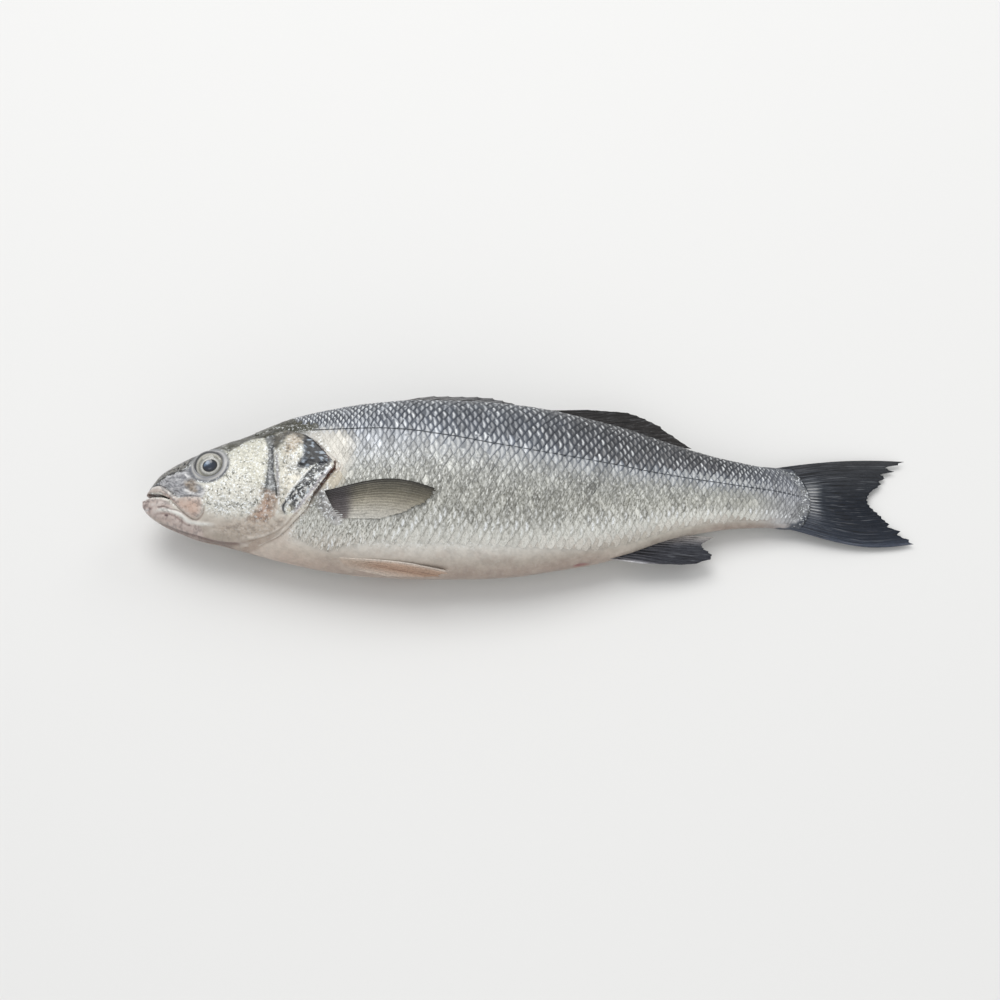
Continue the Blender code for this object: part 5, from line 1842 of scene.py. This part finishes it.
# ------------------------------------------------------------------------------------------- eyes
@dataclass
class Eye:
    """An eyeball: a flattened ball with a wet, clear front."""

    form: FishForm
    flank: Flank
    at: tuple[float, float] = EYE_AT
    radius: float = 8.8
    depth: float = 5.0
    lens: float = 0.35
    seat: float = 3.2
    tilt_deg: float = 4.0
    pupil_off: tuple[float, float] = (0.7, -1.1)
    pupil_lean_deg: float = 24.0
    pupil_flat: float = 0.2
    rings: int = 44
    spokes: int = 72

    def build(self, finish: bpy.types.Material) -> bpy.types.Object:
        """Makes the eyeball.

        Args:
            finish: Its material.

        Returns:
            The object.
        """
        form, side = self.form, self.flank.value
        s, d = self.at
        _, _, w = form.section_point(np.array(s), form.angle_of(s, d))
        centre = form.at_rest(s, d, side * (w - self.seat))
        gaze = math.radians(float(form.roll_deg[0][1]) + side * self.tilt_deg)
        polar, spoke = np.meshgrid(np.linspace(0, math.pi, self.rings + 2)[1:-1],
                                   np.arange(self.spokes) * math.tau / self.spokes, indexing="ij")
        x = self.radius * np.sin(polar) * np.cos(spoke)
        y = self.radius * np.sin(polar) * np.sin(spoke)
        lens = self.lens * ramp(np.hypot(x, y), 3.6, 2) * (np.cos(polar) > 0)
        z = (self.depth * np.cos(polar) + lens) * side
        x, y = (np.append(part, (0, 0)) for part in (x, y))
        z = np.append(z, (side * (self.depth + self.lens), -side * self.depth))
        local = np.stack([x, y * math.cos(gaze) - z * math.sin(gaze),
                          y * math.sin(gaze) + z * math.cos(gaze)], -1) * MM
        faces = [f[::-side] for f in tube_faces(self.rings, self.spokes)]
        piece = Piece(f"eyeball_{self.flank.name.lower()}", local + centre, faces)
        lean = math.radians(self.pupil_lean_deg)
        off_x, off_y = x - self.pupil_off[0], y - self.pupil_off[1]
        level = off_x * math.cos(lean) + off_y * math.sin(lean)
        upright = off_y * math.cos(lean) - off_x * math.sin(lean)
        round_off = np.hypot(off_x, off_y) / self.radius
        off = np.hypot(level, upright * (1 + self.pupil_flat * ramp(round_off, 0.8, 0.45))) / self.radius
        front = (z * side) > 0
        # A painted bluish reflection over the upper part of the pupil's front.
        haze = ramp(upright, -0.1, 1.5) * ramp(off, 0.42, 0.32) * front
        piece.number("haze", 0.75 * haze * ramp(level, 1.6, -0.8))
        piece.number("from_pupil", np.where(front, np.clip(off, 0, 1), 1.0))
        return piece.dress(finish, "eye", [f"eye_{self.flank.name.lower()}"])


# ------------------------------------------------------------------------------------------- fins
def through(*points: tuple[float, ...]) -> Sequence[Pairs]:
    """Lines, one for each number of a point, that run smoothly through points spread over 0 to 1."""
    knots = np.linspace(0, 1, len(points))
    return tuple(tuple(zip(knots.tolist(), column)) for column in zip(*points))


def read(lines: Sequence[Pairs], share: Array) -> Array:
    """Positions at shares of lines made by through, one per row."""
    return np.stack([along(line, share) for line in lines], axis=-1)


@dataclass
class Fin:
    """A fin: a thin ragged membrane that is stiffened by branching rays.

    A share k runs along the fin from its leading ray, and t from the root to the tips. Subclasses
    say where the root lies and how a position on the fin is laid on the fish.
    """

    form: FishForm
    name: str
    node: str
    slot: str
    tips: Sequence[Pairs]
    rays: int
    base_tint: Band
    tip_tint: Band
    ray_tint: Colour
    ray_mix: float = 0.5
    ray_fade: float = 0.0
    ray_radius: tuple[float, float] = (0.42, 0.1)
    thickness: tuple[float, float] = (0.5, 0.14)
    fray: float = 0.05
    splits: Pairs = ()
    bow: tuple[float, float] = (0.0, 0.0)
    pale_roots: Pairs = ((0, 0.0), (1, 0.0))
    branches: int = 2
    fade: tuple[float, float] = (0.05, 0.6)
    seed: int = 0
    steps: int = 26
    per_ray: int = 8

    def root(self, k: Array) -> Array:
        """Positions on the root line."""
        raise NotImplementedError

    def lay(self, position: Array, lift: Array) -> Array:
        """Positions in metres of points of the fin, that far to one side of its middle sheet."""
        raise NotImplementedError

    def reach(self, k: Array) -> Array:
        """How far out the ragged edge lies at each share along the fin."""
        draw = np.random.default_rng(SEED * 10 + self.seed)
        lengths = 1.02 + self.fray * (0.5 - draw.random(self.rays + 1))
        spacing = k * self.rays
        ray = np.interp(spacing, np.arange(self.rays + 1), lengths)
        between = np.abs((spacing % 1) - 0.5) * 2
        edge = ray - 0.45 * self.fray * (1 - between) ** 0.7
        for where, depth in self.splits:
            edge = edge - depth * np.clip(1 - np.abs(k - where) * self.rays / 0.9, 0, 1) ** 0.8
        return edge

    def sheet(self, k: Array, t: Array, lift: Array | float = 0.0) -> Array:
        """Points of the fin in metres, for shares k along it and t out along its rays."""
        root, tip = self.root(k), read(self.tips, k)
        position = root + (tip - root) * t[..., None]
        position[..., 1] += (self.bow[0] + (self.bow[1] - self.bow[0]) * k) * np.sin(math.pi * t ** 1.2)
        return self.lay(position, np.broadcast_to(lift, np.shape(k)))

    def tint(self, k: Array, t: Array) -> Array:
        """Colour of the membrane."""
        tint = mixed(self.base_tint.at(k), self.tip_tint.at(k), ease((t - self.fade[0]) / self.fade[1]))
        return mixed(tint, (190, 188, 186), along(self.pale_roots, k) * ramp(t, 0.3, 0.14) * 0.4)

    def build_membrane(self, finish: bpy.types.Material) -> bpy.types.Object:
        """Makes the membrane, a closed shell that is thinner between the rays and at the edge."""
        columns = self.rays * self.per_ray + 1
        k, t = np.meshgrid(np.linspace(0, 1, columns), np.linspace(0, 1, self.steps))
        out = t * self.reach(k)
        thick = self.thickness[0] + (self.thickness[1] - self.thickness[0]) * ease(out * 1.1)
        thick = thick * (0.7 + 0.3 * np.cos(math.tau * k * self.rays))
        top, under = self.sheet(k, out, thick / 2), self.sheet(k, out, -thick / 2)
        points = np.vstack([top.reshape(-1, 3), under.reshape(-1, 3)])
        faces, place = shell_faces(self.steps, columns)
        piece = Piece(f"{self.name}_membrane", points, faces)
        tint = self.tint(k, out)
        along_ray = 0.5 + 0.5 * np.cos(math.tau * k * self.rays * 2)
        tint = mixed(tint, self.ray_tint, 0.3 * self.ray_mix * along_ray * (1 - self.ray_fade * k))
        piece.colour("tint", np.vstack([tint.reshape(-1, 3)] * 2))
        piece.number("across", np.tile((k * self.rays + 40 * self.seed).ravel(), 2))
        piece.number("out", np.tile(out.ravel(), 2))
        piece.bake_map(place)
        return piece.dress(finish, self.slot, [self.node])

    def build_rays(self, finish: bpy.types.Material) -> bpy.types.Object:
        """Makes the rays, each of which branches on its way out."""
        tubes = Tubes(f"{self.name}_rays")
        levels = [0.0, *np.linspace(0.38, 0.72, self.branches), 1.0] if self.branches else [0.0, 1.0]
        for ray in range(self.rays + 1):
            at = ray / self.rays
            for level, (start, end) in enumerate(zip(levels[:-1], levels[1:])):
                for branch in range(2 ** level):
                    self._branch(tubes, at, level, branch, start, end)
        return tubes.build(finish).dress(finish, self.slot)

    @staticmethod
    def spread(level: int, branch: int) -> float:
        """Where a branch of that level lies across its ray, from -0.5 to 0.5."""
        return (branch + 0.5) / 2 ** level - 0.5

    def _branch(self, tubes: Tubes, at: float, level: int, branch: int, start: float, end: float) -> None:
        """Adds one stretch of a ray, from where it parts from its parent to where it parts again."""
        here = self.spread(level, branch)
        parent = self.spread(level - 1, branch // 2) if level else here
        t = np.linspace(start, end, 7 if level else 9)
        settle = ease((t - start) / 0.14)
        width = 0.72 * ramp(t, 0.2, 0.7)
        k = at + (parent + (here - parent) * settle) * width / self.rays
        k = np.clip(k, 0, 1)
        out = t * self.reach(k)
        share = (1 - t) / 2 ** (0.5 * level)
        radius = self.ray_radius[1] + (self.ray_radius[0] - self.ray_radius[1]) * share
        strength = self.ray_mix * (1 - 0.5 * t) * (1 - self.ray_fade * k)
        tint = mixed(self.tint(k, out), self.ray_tint, strength)
        number = at * self.rays
        pale = along(self.pale_roots, k) * (0.35 + 0.5 * abs(math.sin(7.3 * number)))
        length = 0.22 + 0.13 * abs(math.sin(3.1 * number + 1))
        tint = mixed(tint, (198, 197, 196), pale * ease((length - t) / 0.12))
        tubes.add(self.sheet(k, out), radius, tint)

    def build(self, membrane: bpy.types.Material, ray: bpy.types.Material) -> None:
        """Makes both pieces of the fin."""
        self.build_membrane(membrane)
        self.build_rays(ray)


def shell_faces(rows: int, columns: int) -> tuple[list[tuple[int, ...]], Array]:
    """Faces of a closed shell between two grids, the second stored after the first.

    Args:
        rows: Rows of each grid.
        columns: Points in a row.

    Returns:
        The faces, and a bake place for each of their corners.
    """
    top = grid_faces(rows, columns)
    count = rows * columns
    under = [tuple(i + count for i in f[::-1]) for f in top]
    rim = [r * columns for r in range(rows)]
    rim += [(rows - 1) * columns + c for c in range(1, columns)]
    rim += [r * columns + columns - 1 for r in range(rows - 2, -1, -1)]
    rim += list(range(columns - 2, -1, -1))
    edge = [(b + count, a + count, a, b) for a, b in zip(rim[:-1], rim[1:])]
    c, r = np.meshgrid(np.linspace(0, 1, columns), np.linspace(0, 1, rows))
    flat = np.stack([c, r], -1).reshape(-1, 2)
    both = np.vstack([flat * (0.98, 0.46) + 0.01, flat * (0.98, 0.46) + (0.01, 0.49)])
    strip = []
    for number in range(len(edge)):
        u0, u1 = number / len(edge), (number + 1) / len(edge)
        strip += [(u0, 0.975), (u1, 0.975), (u1, 0.99), (u0, 0.99)]
    return top + under + edge, np.vstack([corner_map(top + under, both), strip])


@dataclass
class MidplaneFin(Fin):
    """A fin that stands in the fish's middle plane, on the back or under the belly."""

    along_body: tuple[float, float] = (0.0, 0.0)
    on_back: bool = True
    clear: float = -0.4

    def root(self, k: Array) -> Array:
        """Positions on the root line, just inside the skin."""
        s = self.along_body[0] + (self.along_body[1] - self.along_body[0]) * k
        line = self.form.dorsal if self.on_back else self.form.ventral
        return np.stack([s, along(line, s) + (self.clear if self.on_back else -self.clear)], -1)

    def lay(self, position: Array, lift: Array) -> Array:
        """Positions in metres."""
        return self.form.at_rest(position[..., 0], position[..., 1], lift, floor=FIN_CLEAR)


@dataclass
class TailFin(MidplaneFin):
    """The forked tail fin, which starts from the curved end of the scaled body."""

    inside: float = 3.0
    corners_ahead: tuple[float, float] = (19.0, 9.0)
    wave: float = 0.5

    def root(self, k: Array) -> Array:
        """Positions on the root line, inside the end of the body."""
        off = 2 * k - 1
        ahead = np.where(off < 0, *self.corners_ahead) * np.abs(off) ** 2.6
        s = self.form.body_end - self.inside - ahead
        return np.stack([s, TAIL_ROOT_TOP - TAIL_ROOT_DEPTH * k], -1)

    def lay(self, position: Array, lift: Array) -> Array:
        """Positions in metres, with a slight wave across the fin."""
        s, d = position[..., 0], position[..., 1]
        wave = self.wave * np.sin(d / 4.2) * ease((s - self.form.body_end) / 50)
        return self.form.at_rest(s, d, lift + wave, floor=FIN_CLEAR)


@dataclass
class FlankFin(Fin):
    """A fin that lies folded back along one flank; positions are (s, degrees, lift)."""

    roots: Sequence[Pairs] = ()
    flank: Flank = Flank.LEFT

    def root(self, k: Array) -> Array:
        """Positions on the root line."""
        return read(self.roots, k)

    def lay(self, position: Array, lift: Array) -> Array:
        """Positions in metres."""
        s, degrees, clear = position[..., 0], position[..., 1], position[..., 2]
        off = self.form.surface_gap + self.form.fin_thickness / 2 + clear
        s, d, w = self.form.section_point(s, np.radians(degrees), off + lift)
        return self.form.at_rest(s, d, self.flank.value * w, floor=FIN_CLEAR)


def middle_fins(form: FishForm) -> list[Fin]:
    """The fins in the fish's middle plane, from the back over the tail to the belly."""
    return [
        MidplaneFin(form, "first_dorsal", "first_dorsal_fin", "fin",
                    through((140, 52.4), (158, 54.9), (176, 55.0), (192, 53.2), (206, 50.2)), 9,
                    Band(((0, (104, 102, 102)), (1, (76, 76, 78)))),
                    Band(((0, (128, 126, 124)), (1, (88, 88, 90)))), (196, 197, 196), 0.62,
                    fray=0.2, branches=0, ray_radius=(0.5, 0.12), seed=1, along_body=(118, 194)),
        MidplaneFin(form, "second_dorsal", "second_dorsal_fin", "fin",
                    through((240, 49.9), (258, 49.9), (274, 46.0), (286, 38.4), (297, 30.8)), 13,
                    Band(((0, (44, 42, 40)), (1, (36, 35, 35)))),
                    Band(((0, (32, 31, 31)), (1, (42, 39, 38)))), (86, 80, 77), 0.4,
                    fray=0.07, seed=2, along_body=(212, 286)),
        MidplaneFin(form, "anal", "anal_fin", "fin",
                    through((268, -39.7), (291, -39.0), (306.5, -33.2), (301, -28.8), (301.5, -26),
                            (307.3, -22.3)), 12,
                    Band(((0, (120, 116, 118)), (0.12, (42, 42, 49)), (0.5, (35, 36, 43)),
                          (0.75, (92, 88, 88)), (1, (146, 139, 134)))),
                    Band(((0, (226, 224, 226)), (0.1, (44, 44, 51)), (0.22, (30, 32, 40)),
                          (0.6, (35, 37, 45)), (0.8, (100, 98, 100)), (1, (164, 158, 152)))),
                    (190, 188, 188), 0.28, fray=0.08, seed=3, along_body=(251, 290), on_back=False),
        TailFin(form, "caudal", "caudal_fin", "fin",
                through((414.5, 30), (407, 22), (398, 12.5), (392.4, 4), (398.5, -4), (407, -12.5),
                        (415.6, -21.8)), TAIL_RAYS,
                Band(((0, (48, 48, 52)), (0.3, (46, 51, 58)), (0.7, (42, 47, 56)),
                      (1, (54, 59, 70)))),
                Band(((0, (54, 54, 56)), (0.3, (30, 33, 39)), (0.5, (11, 17, 27)), (0.8, (13, 20, 32)),
                      (0.93, (23, 30, 42)), (1, (72, 78, 92)))),
                (92, 98, 108), 0.25, ray_radius=(0.5, 0.1), fray=0.05,
                splits=((0.085, 0.09), (0.17, 0.12), (0.24, 0.06), (0.8, 0.05), (0.9, 0.05)),
                bow=(3.0, -4.6), branches=3, seed=4, per_ray=10,
                pale_roots=((0, 0.0), (0.2, 0.3), (0.3, 1.0), (0.66, 0.9), (0.8, 0.15), (1, 0.0))),
    ]


def paired_fins(form: FishForm, flank: Flank) -> list[Fin]:
    """The pectoral and the pelvic fin of one flank."""
    side = flank.name.lower()
    shown = through((165.5, 164, 0.9), (160, 171, 0.8), (150, 176, -0.1), (133, 180, -0.65))
    folded_in = through((160, 146, 0.2), (154, 149, 0.1), (146, 152, 0.0), (132, 156, 0.0))
    return [
        FlankFin(
            form, f"pectoral_{side}", f"pectoral_fin_{side}", "paired_fin",
            through((158.5, 103, 0.8), (154.5, 108.5, 0.6), (146, 115.5, 0.15), (130, 122.5, -0.4)), 15,
            Band(((0, (66, 62, 64)), (0.4, (88, 82, 84)), (0.8, (104, 98, 98)), (1, (126, 118, 116)))),
            Band(((0, (60, 58, 52)), (0.1, (104, 100, 87)), (0.35, (130, 124, 108)),
                  (0.55, (176, 169, 152)), (0.8, (203, 198, 186)), (1, (210, 207, 198)))),
            (34, 31, 28), 0.9, ray_fade=0.85, ray_radius=(0.36, 0.1), fray=0.05, bow=(-6.5, 0.0),
            fade=(0.14, 0.16), seed=5, flank=flank,
            roots=through((100.5, 104, -0.5), (103.5, 112, -0.4), (108, 122.5, -0.7))),
        FlankFin(
            form, f"pelvic_{side}", f"pelvic_fin_{side}", "paired_fin",
            shown if flank is Flank.LEFT else folded_in, 8,
            # Pale at k = 0: a painted highlight along the fin's upper edge.
            Band(((0, (212, 201, 189)), (0.2, (190, 172, 156)), (0.75, (184, 163, 147)),
                  (1, (194, 179, 165)))),
            Band(((0, (224, 215, 205)), (0.14, (190, 162, 142)), (0.42, (168, 136, 115)),
                  (0.65, (192, 168, 151)), (1, (212, 200, 188)))),
            (206, 189, 174), 0.25, ray_radius=(0.42, 0.12), fray=0.06, bow=(-5.0, 0.0),
            fade=(0.1, 0.35), seed=6, flank=flank,
            roots=through((108, 157, -1.2), (109, 162, -1.2), (111, 168, -1.2))),
    ]


# ----------------------------------------------------------------------------------------- studio
@dataclass
class Studio:
    """The plain pale floor, the soft light and the camera."""

    camera_at: tuple[float, float, float] = (-0.0154, -0.5766, 1.0094)
    camera_tilt_deg: float = 30.0
    lens: float = 76.36
    floor_half: float = 4.0
    floor_colour: Colour = (222, 221, 219)
    sky: Colour = (236, 238, 240)
    sky_strength: float = 0.72
    lamps: tuple[tuple[str, tuple[float, float, float], float, float], ...] = (
        ("key", (-0.35, 0.75, 1.5), 1.2, 16.0),
        ("fill", (0.3, -1.4, 0.9), 1.4, 6.5),
        ("rim", (0.9, 0.9, 0.9), 0.6, 3.0),
    )

    def build(self) -> None:
        """Makes the studio."""
        self.make_floor()
        self.make_light()
        self.make_camera()

    def make_floor(self) -> None:
        """A pale floor that isn't part of the fish."""
        corners = self.floor_half * np.array([(-1, -1, 0), (1, -1, 0), (1, 1, 0), (-1, 1, 0)], float)
        floor = Piece("studio_floor", corners, [(0, 1, 2, 3)])
        f = Finish("pale_floor", roughness=0.75)
        f.shade(base_color=rgba(self.floor_colour))
        floor.mesh.materials.append(f.material)

    def make_light(self) -> None:
        """An even sky and large soft lamps that all face the fish."""
        world = bpy.data.worlds.new("studio_sky")
        bpy.context.scene.world = world
        world.use_nodes = True
        sky = world.node_tree.nodes["Background"]
        sky.inputs["Color"].default_value = rgba(self.sky)
        sky.inputs["Strength"].default_value = self.sky_strength
        for name, at, size, power in self.lamps:
            lamp = bpy.data.lights.new(f"{name}_lamp", "AREA")
            lamp.size = size
            lamp.energy = power
            thing = bpy.data.objects.new(f"{name}_lamp", lamp)
            thing.location = at
            thing.rotation_euler = (-Vector(at)).to_track_quat("-Z", "Y").to_euler()
            bpy.context.scene.collection.objects.link(thing)

    def make_camera(self) -> None:
        """The camera that sees the fish as the photograph does."""
        lens = bpy.data.cameras.new("camera")
        lens.lens = self.lens
        camera = bpy.data.objects.new("camera", lens)
        camera.location = self.camera_at
        camera.rotation_euler = (math.radians(self.camera_tilt_deg), 0.0, 0.0)
        bpy.context.scene.collection.objects.link(camera)
        bpy.context.scene.camera = camera


def main() -> None:
    """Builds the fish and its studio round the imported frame."""
    logging.basicConfig(level=logging.INFO, format="%(name)s: %(message)s")
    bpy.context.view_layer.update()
    bpy.context.scene.view_settings.view_transform = "Standard"
    form = FishForm()
    colours = SkinColours(form)
    skin = SkinFinish().build()
    coat = ScaleCoat(form, colours)
    HeadSkin(form, colours).build(skin)
    TrunkSkin(form, colours, coat).build(skin)
    scales = ScaleFinish().build()
    for flank in Flank:
        coat.build(scales, flank)
    LateralLine(form, coat).build(FinFinish("lateral_line_tubes", contrast=0.2).build())
    eye = EyeFinish().build()
    for flank in Flank:
        Eye(form, flank).build(eye)
    membranes = {"fin": FinFinish("fin_membrane", streaks=0.8).build(),
                 "paired_fin": FinFinish("paired_fin_membrane", streaks=0.4).build()}
    ray = FinFinish("fin_rays", fine_mm=1.6, contrast=0.25, roughness=0.36).build()
    fins = middle_fins(form) + [fin for flank in Flank for fin in paired_fins(form, flank)]
    for fin in fins:
        fin.build(membranes[fin.slot], ray)
    Studio().build()


if __name__ == "__main__":
    main()
